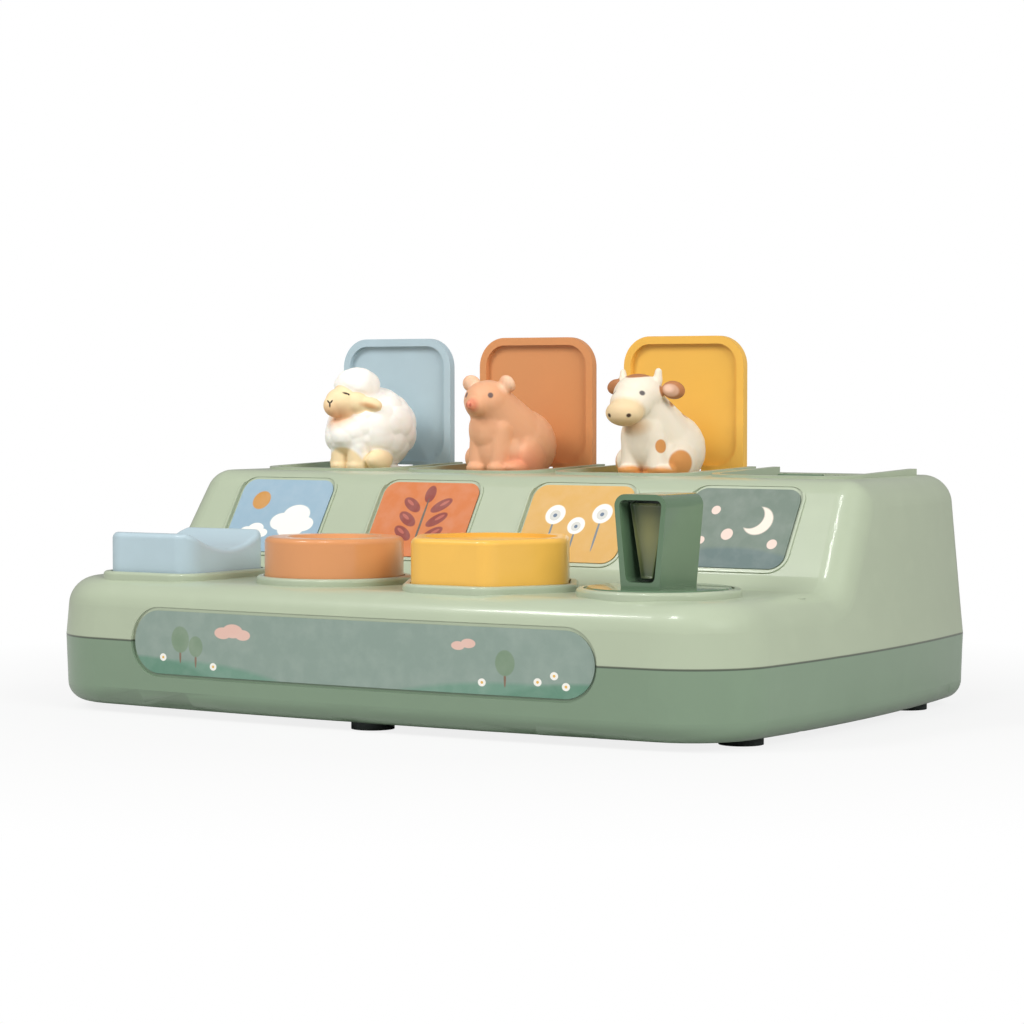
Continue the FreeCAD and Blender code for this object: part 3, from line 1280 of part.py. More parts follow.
def make_latch(channel):
    """A flat bar from under the control to the well, with its spring's window."""
    body = new_body(f"latch_{channel + 1}")
    nose = S["WellSetback"] - S["WellWidth"] / 2
    if channel != BUTTON:
        nose = nose - S["LatchTravel"]
    plan = sketch_on(body, "XY_Plane", S["LatchFloor"])
    bar, head, tip = S["LatchHalfWidth"], S["LatchHeadHalfWidth"], S["LatchNoseHalfWidth"]
    front, neck = -S["LatchHeadFront"], -S["LatchHeadRear"]
    shoulder = S["GuideRear"] + S["GuideThickness"] / 2 + S["LatchTravel"] + S["NoseGap"]
    waist, narrow = neck + S["LatchTaper"], shoulder + S["LatchTaper"]
    polygon(plan, [(-head, front), (head, front), (head, neck), (bar, waist),
                   (bar, shoulder), (tip, narrow), (tip, nose), (-tip, nose),
                   (-tip, narrow), (-bar, shoulder), (-bar, waist), (-head, neck)])
    pad(body, plan, S["LatchThickness"])
    window = sketch_on(body, "XY_Plane", S["LatchFloor"] + S["LatchThickness"])
    side = S["LatchSpringRadius"] + S["LatchSpringWire"]
    rear_room = (S["SpringPostSetback"] + S["SpringPostThickness"] / 2 + S["LatchTravel"]
                 + S["SpringWindowGap"])
    rectangle(window, -side, -rear_room, side, SPRING_END)
    pocket(body, window, S["LatchThickness"])
    driver_slots(body, channel)
    if channel == BUTTON:
        wedge = sketch_on(body, "YZ_Plane", S["ShaftRadius"] + S["LatchFork"])
        margin = S["WedgeMargin"]
        low = S["LatchFloor"] - margin
        high = S["LatchFloor"] + S["LatchThickness"] + margin
        polygon(wedge, [(WEDGE_Y - margin / WEDGE_SLOPE, high), (WEDGE_REAR, high),
                        (WEDGE_REAR, low),
                        (WEDGE_Y + (S["LatchThickness"] + margin) / WEDGE_SLOPE, low)])
        pocket(body, wedge, 2 * (S["ShaftRadius"] + S["LatchFork"]))
    place(body, channel_x(channel), 0, 0)
    return body


def make_latch_spring(channel):
    wire = S["LatchSpringWire"].number
    gap = S["LatchSpringGap"].number
    room = S["LatchSpringLength"].number - wire - 2 * gap
    shape = coil(S["LatchSpringRadius"].number, wire, LATCH_SPRING_TURNS, room)
    turn = FreeCAD.Rotation(Vector(1, 0, 0), -90)
    height = S["LatchFloor"].number + S["LatchThickness"].number / 2
    where = Vector(channel_x(channel).number, SPRING_START.number + wire / 2 + gap, height)
    return spring_feature(f"latch_spring_{channel + 1}", shape, FreeCAD.Placement(where, turn))


# ---------------------------------------------------------------- controls


def make_rocker():
    """A saddle-topped rocker, built round its pin, with a lever down to its latch."""
    body = new_body("rocker")
    half_w, half_l = S["RockerWidth"] / 2, S["RockerLength"] / 2
    axis = S["RockerAxis"]
    skirt = -S["RockerPinRadius"] - S["RockerSkirt"]
    end, valley = S["RockerEndHeight"] - axis, S["RockerValleyHeight"] - axis
    plan = sketch_on(body, "XY_Plane", skirt)
    rounded_rectangle(plan, -half_w, -half_l, half_w, half_l, S["RockerCornerRadius"])
    pad(body, plan, end - skirt)
    saddle = sketch_on(body, "YZ_Plane", half_w + BITE)
    reach = half_l - S["RockerCornerRadius"] / 2
    saddle_cut(saddle, reach, valley, end)
    pocket(body, saddle, S["RockerWidth"] + 2 * BITE)
    round_edges(body, S["RockerEdgeRadius"],
                lambda e: middle(e).z > valley.number - NEAR and not is_upright(e))
    inside = sketch_on(body, "XY_Plane", skirt)
    wall = S["ControlWall"]
    rounded_rectangle(inside, wall - half_w, wall - half_l, half_w - wall, half_l - wall,
                      S["RockerCornerRadius"] - wall)
    pocket(body, inside, valley - skirt - wall, flip=True)
    lever = sketch_on(body, "XY_Plane", S["LatchFloor"] - axis - BITE)
    rectangle(lever, -S["ShaftRadius"], -S["ControlWall"], S["ShaftRadius"], S["ControlWall"])
    pad(body, lever, axis - S["LatchFloor"] + BITE + valley - wall)
    bore = sketch_on(body, "YZ_Plane", half_w + BITE)
    circle(bore, 0, 0, S["RockerPinRadius"] + S["PinClearance"])
    pocket(body, bore, S["RockerWidth"] + 2 * BITE)
    place(body, channel_x(ROCKER), CONTROL_Y, axis)
    return body


def saddle_cut(sketch, reach, valley, end):
    """The region above a shallow round valley, between the two raised ends."""
    r, v, e = reach.number, valley.number, end.number
    rise = 2 * BITE
    arc = Part.Arc(Vector(-r, e, 0), Vector(0, v, 0), Vector(r, e, 0))
    curve = sketch.addGeometry(arc, False)
    corners = [Vector(r, e, 0), Vector(r, e + rise, 0), Vector(-r, e + rise, 0),
               Vector(-r, e, 0)]
    for start, stop in zip(corners, corners[1:]):
        sketch.addGeometry(Part.LineSegment(start, stop), False)
    right, top, left = curve + 1, curve + 2, curve + 3
    first_end = sketch.Geometry[curve].StartPoint
    right_end, left_end = (2, 1) if first_end.x < 0 else (1, 2)
    joins = [(curve, right_end, right, 1), (right, 2, top, 1), (top, 2, left, 1),
             (left, 2, curve, left_end)]
    for join in joins:
        sketch.addConstraint(Sketcher.Constraint("Coincident", *join))
    dimension(sketch, "DistanceX", right, 1, reach)
    dimension(sketch, "DistanceY", right, 1, end)
    dimension(sketch, "DistanceX", right, 2, reach)
    dimension(sketch, "DistanceY", right, 2, end + rise)
    dimension(sketch, "DistanceX", top, 2, -reach)
    dimension(sketch, "DistanceY", top, 2, end + rise)
    dimension(sketch, "DistanceX", left, 2, -reach)
    dimension(sketch, "DistanceY", left, 2, end)
    depth = end - valley
    dimension(sketch, "Radius", curve, (reach * reach + depth * depth) / (2 * depth))


def make_rocker_pin():
    return crosswise_rod("rocker_pin", channel_x(ROCKER), CONTROL_Y, S["RockerAxis"],
                         S["RockerWidth"] / 2 + S["RimWall"], S["RockerPinRadius"])


def make_knob():
    """The round knob: a turned cap with a dish, a finger hollow and a square socket."""
    body = new_body("knob")
    r, height = S["KnobRadius"], S["KnobTop"] - S["KnobFloor"]
    wall = S["ControlWall"]
    dish, depth = S["KnobDishRadius"], S["KnobDishDepth"]
    hub = S["ShaftRadius"] + wall
    section = sketch_on(body, "XZ_Plane", 0)
    polygon(section, [(0, 0), (hub, 0), (hub, height - depth - 2 * wall),
                      (r - wall, height - depth - 2 * wall), (r - wall, 0), (r, 0),
                      (r, height), (dish + depth, height), (dish, height - depth),
                      (0, height - depth)])
    revolve(body, section)
    round_edges(body, S["KnobEdgeRadius"],
                lambda e: e.BoundBox.ZMin > height.number - SAME
                and e.BoundBox.XMax > r.number - SAME)
    hollow = sketch_on(body, "XY_Plane", height)
    circle(hollow, S["FingerHoleOffset"], 0, S["FingerHoleRadius"])
    pocket(body, hollow, 2 * depth)
    socket = sketch_on(body, "XY_Plane", 0)
    half = S["TenonWidth"] / 2 + S["TenonGap"]
    rectangle(socket, -half, -half, half, half)
    pocket(body, socket, height / 2, flip=True)
    place(body, channel_x(KNOB), CONTROL_Y, S["KnobFloor"])
    return body


def make_shaft(label, channel):
    """A turning shaft: tenon, flange under the deck, and a crank pin in the latch."""
    body = new_body(label)
    r, flange = S["ShaftRadius"], S["ShaftFlangeRadius"]
    boss_end = DECK_UNDERSIDE - S["BossDepth"] - S["EndPlay"]
    flange_low = boss_end - S["WallThickness"]
    crank_high = S["LatchFloor"] + 2 * S["LatchThickness"]
    crank_low = S["LatchFloor"] + S["LatchThickness"] + S["CrankGap"]
    crank = r + S["CrankMargin"]
    section = sketch_on(body, "XZ_Plane", 0)
    polygon(section, [(0, crank_low), (crank, crank_low), (crank, crank_high), (r, crank_high),
                      (r, flange_low), (flange, flange_low), (flange, boss_end), (r, boss_end),
                      (r, S["KnobFloor"]), (0, S["KnobFloor"])])
    revolve(body, section)
    half = S["TenonWidth"] / 2
    tenon = sketch_on(body, "XY_Plane", S["KnobFloor"])
    rectangle(tenon, -half, -half, half, half)
    if channel == KNOB:
        height = (S["KnobTop"] - S["KnobFloor"]) / 2
    else:
        height = S["DiscThickness"]
    pad(body, tenon, height - S["EndPlay"])
    pin = sketch_on(body, "XY_Plane", S["LatchFloor"] - S["CrankGap"])
    circle(pin, S["CrankThrow"], 0, S["CrankPinRadius"])
    pad(body, pin, crank_low - S["LatchFloor"] + S["CrankGap"])
    place(body, channel_x(channel), CONTROL_Y, 0)
    return body


WEDGE_Y = CONTROL_Y - S["LatchTravel"]
WEDGE_REAR = CONTROL_Y + 3 * S["LatchTravel"] + S["WedgeMargin"]


def make_button():
    """The six-sided push button, with a flange under the deck and a wedge-ended stem."""
    body = new_body("push_button")
    low = DECK_UNDERSIDE - S["WallThickness"] - S["EndPlay"]
    wall = S["ControlWall"]
    cap = sketch_on(body, "XY_Plane", low)
    hexagon(cap, 0, 0, S["ButtonFlats"])
    pad(body, cap, S["ButtonTop"] - low)
    round_edges(body, S["ButtonCornerRadius"], is_upright)
    top = S["ButtonTop"].number
    dish = sketch_on(body, "XY_Plane", S["ButtonTop"])
    circle(dish, 0, 0, S["ButtonFlats"] / 2 - 2 * wall)
    pocket(body, dish, S["ButtonDishDepth"])
    rim = (S["ButtonFlats"] / 2 - wall).number
    round_edges(body, wall, lambda e: abs(middle(e).z - top) < SAME
                and middle(e).sub(Vector(0, 0, top)).Length > rim)
    inside = sketch_on(body, "XY_Plane", low)
    circle(inside, 0, 0, S["ButtonFlats"] / 2 - wall)
    pocket(body, inside, S["ButtonTop"] - low - S["ButtonDishDepth"] - wall, flip=True)
    flange = sketch_on(body, "XY_Plane", low)
    circle(flange, 0, 0, S["ButtonFlats"] / 2 + S["ButtonFlange"])
    circle(flange, 0, 0, S["ButtonFlats"] / 2 - wall)
    pad(body, flange, S["WallThickness"])
    stem = sketch_on(body, "YZ_Plane", -S["ShaftRadius"])
    bar_top = S["LatchFloor"] + S["LatchThickness"]
    roof = S["ButtonTop"] - S["ButtonDishDepth"] - wall / 2
    y = WEDGE_Y - CONTROL_Y + S["WedgeGap"]
    run = S["LatchThickness"] / WEDGE_SLOPE
    rear = y + run + S["WedgeMargin"]
    lift = S["ButtonTravel"] + S["WedgeMargin"]
    polygon(stem, [(y - lift / WEDGE_SLOPE, bar_top + lift), (y + run, S["LatchFloor"]),
                   (rear, S["LatchFloor"]), (rear, roof), (y - lift / WEDGE_SLOPE, roof)])
    pad(body, stem, 2 * S["ShaftRadius"])
    place(body, channel_x(BUTTON), CONTROL_Y, 0)
    return body


def make_disc():
    """The handle's round plate, bevelled at its upper edge, with a square socket."""
    body = new_body("turn_disc")
    r, high, bevel = S["KnobRadius"], S["DiscThickness"], S["DiscBevel"]
    section = sketch_on(body, "XZ_Plane", 0)
    polygon(section, [(0, 0), (r, 0), (r, high - bevel), (r - bevel, high), (0, high)])
    revolve(body, section)
    socket = sketch_on(body, "XY_Plane", 0)
    half = S["TenonWidth"] / 2 + S["TenonGap"]
    rectangle(socket, -half, -half, half, half)
    pocket(body, socket, S["DiscThickness"], flip=True)
    place(body, channel_x(HANDLE), CONTROL_Y, S["KnobFloor"])
    return body


def grip_section(sketch, inset):
    """The handle's upright section, wider at the top than at the disc."""
    low = S["KnobFloor"] + S["DiscThickness"] + inset
    high = S["GripTop"] - inset
    foot, head = S["GripFootWidth"] / 2 - inset, S["GripTopWidth"] / 2 - inset
    polygon(sketch, [(-foot, low), (foot, low), (head, high), (-head, high)])


def make_grip():
    """The handle's outer loop, open from front to back."""
    body = new_body("turn_grip")
    outer = sketch_on(body, "XZ_Plane", -S["GripDepth"] / 2)
    grip_section(outer, 0)
    pad(body, outer, S["GripDepth"])
    high = S["GripTop"].number
    round_edges(body, S["GripRadius"], lambda e: long_edges(e) and middle(e).z > high - NEAR)
    inner = sketch_on(body, "XZ_Plane", S["GripDepth"] / 2)
    grip_section(inner, S["GripWall"])
    pocket(body, inner, S["GripDepth"])
    inner_high = high - S["GripWall"].number
    low_edge = (S["KnobFloor"] + S["DiscThickness"] + S["GripWall"]).number
    round_edges(body, S["GripRadius"] - S["GripWall"],
                lambda e: long_edges(e) and (abs(middle(e).z - inner_high) < NEAR
                                             or abs(middle(e).z - low_edge) < NEAR))
    place(body, channel_x(HANDLE), CONTROL_Y, 0)
    return body


def make_grip_core():
    """The insert in the loop, with a shallow panel at each end."""
    body = new_body("grip_core")
    inset = S["GripWall"] + S["CoreGap"]
    depth = S["GripDepth"] - 2 * S["CoreInset"]
    outer = sketch_on(body, "XZ_Plane", -depth / 2)
    grip_section(outer, inset)
    pad(body, outer, depth)
    round_edges(body, S["GripRadius"] - S["GripWall"], long_edges)
    for side in (1, -1):
        panel = sketch_on(body, "XZ_Plane", side * depth / 2)
        grip_section(panel, inset + S["ControlWall"])
        pocket(body, panel, S["ControlWall"], flip=side < 0)
    place(body, channel_x(HANDLE), CONTROL_Y, 0)
    return body


# ---------------------------------------------------------------- labels


def make_panel_label(channel):
    body = new_body(f"panel_label_{channel + 1}")
    plan = label_face_sketch(body, S["PanelSeatDepth"])
    panel_label_shape(plan, channel, 0)
    pad(body, plan, S["LabelThickness"])
    return body


def make_front_label():
    back = S["FrontSeatInset"] - S["LabelGlue"]
    label = front_pill("front_label_blank", 0, back, back - S["LabelThickness"])
    label.Label = "front_label"
    return label


# ---------------------------------------------------------------- figures


def ball(x, y, z, radius):
    """A sphere round a point."""
    piece = doc.addObject("Part::Sphere", "ball")
    bind(piece, "Radius", radius)
    place(piece, x, y, z)
    return piece


def limb(x, y, z, low_radius, high_radius, length):
    """An upright round-ended form: two balls and the skin that touches both."""
    body = new_body("limb")
    section = sketch_on(body, "XZ_Plane", 0)
    r, q, d = as_size(low_radius).number, as_size(high_radius).number, as_size(length).number
    slope = math.asin((r - q) / d)
    up = Vector(0, 0, 1)
    lower = Part.ArcOfCircle(Part.Circle(Vector(0, 0, 0), up, r), -math.pi / 2, slope)
    upper = Part.ArcOfCircle(Part.Circle(Vector(0, d, 0), up, q), slope, math.pi / 2)
    flank = Part.LineSegment(lower.EndPoint, upper.StartPoint)
    axis = Part.LineSegment(upper.EndPoint, lower.StartPoint)
    for geometry in (lower, flank, upper, axis):
        section.addGeometry(geometry, False)
    section.addConstraint(Sketcher.Constraint("Tangent", 0, 2, 1, 1))
    section.addConstraint(Sketcher.Constraint("Tangent", 1, 2, 2, 1))
    section.addConstraint(Sketcher.Constraint("Coincident", 2, 2, 3, 1))
    section.addConstraint(Sketcher.Constraint("Coincident", 3, 2, 0, 1))
    for arc, height, radius in ((0, 0, low_radius), (2, length, high_radius)):
        dimension(section, "DistanceX", arc, 3, 0)
        dimension(section, "DistanceY", arc, 3, height)
        dimension(section, "Radius", arc, radius)
    dimension(section, "DistanceX", 3, 1, 0)
    dimension(section, "DistanceX", 3, 2, 0)
    revolve(body, section)
    place(body, x, y, z)
    return body


def leaning_form(x, y, z, low_radius, high_radius, length, lean):
    """A limb whose upper end leans to the front."""
    body = limb(x, y, z, low_radius, high_radius, length)
    turn(body, (1, 0, 0), lean)
    return body


def sideways_form(x, y, z, side, reach, radius):
    """A limb that sticks out to one side, such as an ear."""
    body = limb(x, y, z, radius, radius, reach)
    turn(body, (0, 1, 0), 90 * side)
    return body


def sitting_body(x, y, base):
    """Rump, chest, upright front legs, and hind legs that lie along the sides."""
    low = S["RumpRadius"] + S["FigureSole"]
    pieces = [leaning_form(x, y + S["RumpSetback"], base + low, S["RumpRadius"],
                           S["ChestRadius"], S["TrunkLength"], S["TrunkLean"])]
    for side in (-1, 1):
        pieces.append(solid_cylinder("front_leg", x + side * S["FrontLegSpread"],
                                     y - S["FrontLegForward"], base, base + S["FrontLegHeight"],
                                     S["FrontLegRadius"]))
        pieces.append(leaning_form(x + side * S["ThighSpread"], y,
                                   base + S["ThighRadius"] + S["FigureSole"], S["ThighRadius"],
                                   S["HindFootRadius"], S["HindFootLength"],
                                   90 + S["HindFootDroop"]))
    return pieces


def head_form(x, y, base, radius, reach, droop):
    """A round head that narrows to a snout in front."""
    return leaning_form(x, y - S["HeadForward"], base + S["HeadHeight"], S["HeadRadius"],
                        radius, reach, 90 + as_size(droop))


def sheep_forms(x, y, base):
    """A woolly cap over a drooping face, with ears to the sides."""
    head_y, head_z = y - S["HeadForward"], base + S["HeadHeight"]
    cap = S["HeadRadius"] * S["WoolCapShare"]
    pieces = [head_form(x, y, base, S["MuzzleRadius"], S["MuzzleReach"], S["MuzzleDroop"]),
              ball(x, head_y + cap / 3, base + S["FigureHeight"] - cap, cap)]
    for side in (-1, 1):
        pieces.append(sideways_form(x + side * S["HeadRadius"] / 2, head_y, head_z, side,
                                    S["EarReach"] * S["SheepEarShare"],
                                    S["EarRadius"] * S["SheepEarShare"]))
    return pieces


def pig_forms(x, y, base):
    """A round head with a flat disc of a snout and two ears that stand up."""
    head_y, head_z = y - S["HeadForward"], base + S["HeadHeight"]
    snout = S["MuzzleRadius"] * S["PigSnoutShare"]
    pieces = [head_form(x, y, base, snout, S["MuzzleReach"], S["SnoutDroop"])]
    ear = S["EarRadius"]
    for side in (-1, 1):
        ear_x = x + side * S["HeadRadius"] * S["PigEarShare"]
        pieces.append(limb(ear_x, head_y, head_z, ear, ear,
                           base + S["FigureHeight"] - S["PigShortfall"] - ear - head_z))
    return pieces


def cow_forms(x, y, base):
    """A broad muzzle, ears straight out to the sides and two small horns."""
    head_y, head_z = y - S["HeadForward"], base + S["HeadHeight"]
    pieces = [head_form(x, y, base, S["MuzzleRadius"] * S["CowMuzzleShare"],
                        S["MuzzleReach"] * S["CowReachShare"], S["MuzzleDroop"])]
    horn = S["HornRadius"]
    for side in (-1, 1):
        pieces.append(sideways_form(x + side * S["HeadRadius"] / 2, head_y,
                                    head_z + S["EarRadius"], side, S["EarReach"],
                                    S["EarRadius"]))
        horn_x = x + side * S["HeadRadius"] * S["HornShare"]
        pieces.append(limb(horn_x, head_y, head_z, horn * S["HornRootShare"], horn,
                           base + S["FigureHeight"] - horn - head_z))
    return pieces


def hen_forms(x, y, base):
    """A small head with a beak and a comb, and a raised tail."""
    head_y = y - S["HeadForward"]
    comb = S["EarRadius"]
    return [head_form(x, y, base, S["HornRadius"], S["MuzzleReach"] * S["HenTailShare"], 0),
            leaning_form(x, head_y + comb, base + S["FigureHeight"] - comb, comb, comb,
                         2 * comb, 90),
            leaning_form(x, y + S["RumpSetback"], base + S["RumpRadius"] + S["FigureSole"],
                         S["ThighRadius"], S["EarRadius"],
                         S["TrunkLength"] * S["HenTailShare"], -S["TailLean"])]


FIGURES = (("sheep", sheep_forms), ("pig", pig_forms), ("cow", cow_forms), ("hen", hen_forms))


def make_figure(channel):
    """A chunky sitting animal that faces the front, fixed to its lift by two pegs."""
    name, own_forms = FIGURES[channel]
    base = lift_top(channel)
    x, y = channel_x(channel), S["WellSetback"]
    pieces = sitting_body(x, y, base) + own_forms(x, y, base)
    for side in (-1, 1):
        pieces.append(solid_cylinder("peg", x + side * S["PegSpacing"] / 2, y,
                                     base - S["LiftWall"] - S["LidSpringWire"],
                                     base + S["RumpRadius"], S["PegRadius"]))
    return fused(name, pieces, refine=False)


# ---------------------------------------------------------------- assembly and export

nodes = [make_upper_shell(), make_base_tray(), make_feet(), make_screws(), make_front_label()]
for number in CHANNELS:
    nodes += [make_panel_label(number), make_well(number), make_lid(number),
              make_lid_pin(number), make_lid_spring(number), make_lift(number),
              make_lift_spring(number), make_figure(number), make_latch(number),
              make_latch_spring(number)]
nodes += [make_rocker(), make_rocker_pin(), make_knob(), make_shaft("knob_shaft", KNOB),
          make_button(), make_disc(), make_grip(), make_grip_core(),
          make_shaft("handle_shaft", HANDLE)]
doc.recompute()

failed = [obj.Label for obj in doc.Objects if {"Invalid", "Error"} & set(obj.State)]
failed += [node.Label for node in nodes if node.Shape.isNull() or not node.Shape.isValid()]
if failed:
    raise RuntimeError("not built: " + ", ".join(failed))
for node in nodes:
    node.Shape.exportStep(f"parts/{node.Label}.step")
    print(f"{node.Label}: {len(node.Shape.Solids)} solid, {node.Shape.Volume / 1000:.2f} cm3")
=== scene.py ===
"""Finishes of the pop up animal toy: mouldings, controls, printed labels and figures."""

import json
import math

import bmesh
import bpy
from mathutils import Euler, Matrix, Vector, noise


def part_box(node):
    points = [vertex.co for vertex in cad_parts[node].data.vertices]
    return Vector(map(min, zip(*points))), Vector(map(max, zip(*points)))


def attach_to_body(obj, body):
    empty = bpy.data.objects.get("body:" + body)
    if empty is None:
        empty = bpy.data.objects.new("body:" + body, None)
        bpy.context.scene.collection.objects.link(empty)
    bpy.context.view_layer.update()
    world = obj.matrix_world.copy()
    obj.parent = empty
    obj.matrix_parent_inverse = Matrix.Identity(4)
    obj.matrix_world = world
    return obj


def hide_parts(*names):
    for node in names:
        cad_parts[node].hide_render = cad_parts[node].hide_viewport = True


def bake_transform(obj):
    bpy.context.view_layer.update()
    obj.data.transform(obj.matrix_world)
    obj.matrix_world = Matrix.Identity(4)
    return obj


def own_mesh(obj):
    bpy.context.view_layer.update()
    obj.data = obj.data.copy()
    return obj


bl_info = {
    "name": "Pop up animal toy finishes",
    "version": (1, 0, 0),
    "blender": (4, 5, 0),
    "location": "3D View > Sidebar > Toy",
    "description": "Builds the looks of a pop up animal toy over its construction model",
    "category": "Object",
}

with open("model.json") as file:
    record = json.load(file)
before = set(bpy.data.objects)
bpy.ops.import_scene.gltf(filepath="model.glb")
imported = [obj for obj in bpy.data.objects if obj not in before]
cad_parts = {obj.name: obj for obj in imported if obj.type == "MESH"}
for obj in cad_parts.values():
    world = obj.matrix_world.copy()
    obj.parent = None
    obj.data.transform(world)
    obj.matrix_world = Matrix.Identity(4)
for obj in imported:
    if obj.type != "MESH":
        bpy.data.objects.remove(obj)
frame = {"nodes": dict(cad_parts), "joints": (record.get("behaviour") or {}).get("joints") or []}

MM = 0.001
UP = Vector((0.0, 0.0, 1.0))
# Middles of the four compartments from left to right, and how far back they lie
CHANNELS = (-0.1125, -0.0375, 0.0375, 0.1125)
LIFT_MIDDLE_Y = 0.053
# How high a figure's flat sole stands over its lift
SOLE_GAP = 0.0001
# Turn of a figure's cheek from straight on, in degrees
QUARTER = 32.0
# Slope of the label face, in degrees
LABEL_SLOPE = 56.6
# Depth of the grain in polished plastic, in vinyl and in print
PLASTIC_GRAIN = 0.00001
VINYL_GRAIN = 0.00003
PRINT_GRAIN = 0.000012
# Half height of the painted shade line along the seam where the two shells meet
SEAM_SHADE_HALF_HEIGHT = 0.0004
# Width of the camera's sensor, in millimetres
SENSOR = 36.0
# What the lamps look at, and how far off the glint lamps stand
LAMP_TARGET = Vector((0.0, 0.0, 0.06))
GLINT_DISTANCE = 1.5


def linear(red, green, blue):
    """A colour mixed in the shop's 0 to 255 steps, as the shaders take it."""
    def channel(step):
        share = step / 255
        return share / 12.92 if share <= 0.04045 else ((share + 0.055) / 1.055) ** 2.4
    return (channel(red), channel(green), channel(blue))


def colour(name, description, red, green, blue):
    """A colour that a user may change."""
    return bpy.props.FloatVectorProperty(name=name, description=description, size=3,
                                         subtype="COLOR", min=0.0, max=1.0,
                                         default=linear(red, green, blue))


class ToyColours(bpy.types.PropertyGroup):
    """Colours of the mouldings, figures and prints."""
    shell: colour("Upper shell", "Light sage of the upper shell", 172, 183, 158)
    tray: colour("Base tray", "Darker green of the base tray", 121, 143, 119)
    blue: colour("Blue mouldings", "Rocker and first lid", 177, 197, 205)
    terracotta: colour("Terracotta mouldings", "Round knob and second lid", 214, 147, 95)
    yellow: colour("Yellow mouldings", "Six-sided button and third lid", 238, 185, 83)
    green: colour("Green mouldings", "Twist handle and fourth lid", 93, 120, 92)
    inner: colour("Inner parts", "Wells, lifts and latches", 214, 216, 204)
    rubber: colour("Feet", "Rubber of the feet", 44, 50, 50)
    wool: colour("Wool", "The sheep's wool", 250, 246, 238)
    fleece_skin: colour("Sheep skin", "The sheep's face, ears and legs", 245, 220, 176)
    pig_skin: colour("Pig skin", "Peach of the pig", 229, 171, 131)
    cow_hide: colour("Cow hide", "Cream of the cow", 238, 226, 206)
    cow_patch: colour("Cow patches", "Brown of the cow's patches", 176, 116, 72)
    feathers: colour("Feathers", "Cream of the hen", 240, 226, 200)


class ToySizes(bpy.types.PropertyGroup):
    """Sizes of the fine detail."""
    skin_step: bpy.props.FloatProperty(
        name="Skin step", description="Grid of a figure's moulded skin",
        default=0.0006, min=0.0003, max=0.003, unit="LENGTH")
    wool_depth: bpy.props.FloatProperty(
        name="Wool depth", description="Height of the puffs in the wool",
        default=0.0016, min=0.0, max=0.003, unit="LENGTH")
    wool_pitch: bpy.props.FloatProperty(
        name="Wool pitch", description="Distance between the puffs in the wool",
        default=0.0075, min=0.001, max=0.02, unit="LENGTH")


class ToyStudio(bpy.types.PropertyGroup):
    """Camera and lamps."""
    lens: bpy.props.FloatProperty(
        name="Lens", description="Focal length of the camera in millimetres",
        default=105.46, min=20.0, max=300.0)
    camera_place: bpy.props.FloatVectorProperty(
        name="Camera place", description="Where the camera stands", size=3,
        subtype="TRANSLATION", default=(0.6646, -1.0601, 0.13185))
    camera_turn: bpy.props.FloatProperty(
        name="Camera turn", description="Turn of the camera to the left of straight on",
        default=0.559, subtype="ANGLE")
    camera_dip: bpy.props.FloatProperty(
        name="Camera dip", description="How far the camera looks down",
        default=0.0406, subtype="ANGLE")
    key_power: bpy.props.FloatProperty(
        name="Key lamp", description="Power of the soft box at the front left", default=16.0,
        min=0.0, unit="POWER")
    side_power: bpy.props.FloatProperty(
        name="Side lamp", description="Power of the broad lamp on the right", default=23.0,
        min=0.0, unit="POWER")
    glint_power: bpy.props.FloatProperty(
        name="Glint lamps", description="Power of the two small lamps above", default=3.2,
        min=0.0, unit="POWER")
    room_light: bpy.props.FloatProperty(
        name="Room light", description="Strength of the even light from all round",
        default=0.32, min=0.0)


# Shader building

def socket_pair(node, name):
    """The colour sockets of a Mix node share their names with its other kinds."""
    return [s for s in node.inputs if s.name == name and s.type == "RGBA"][0]


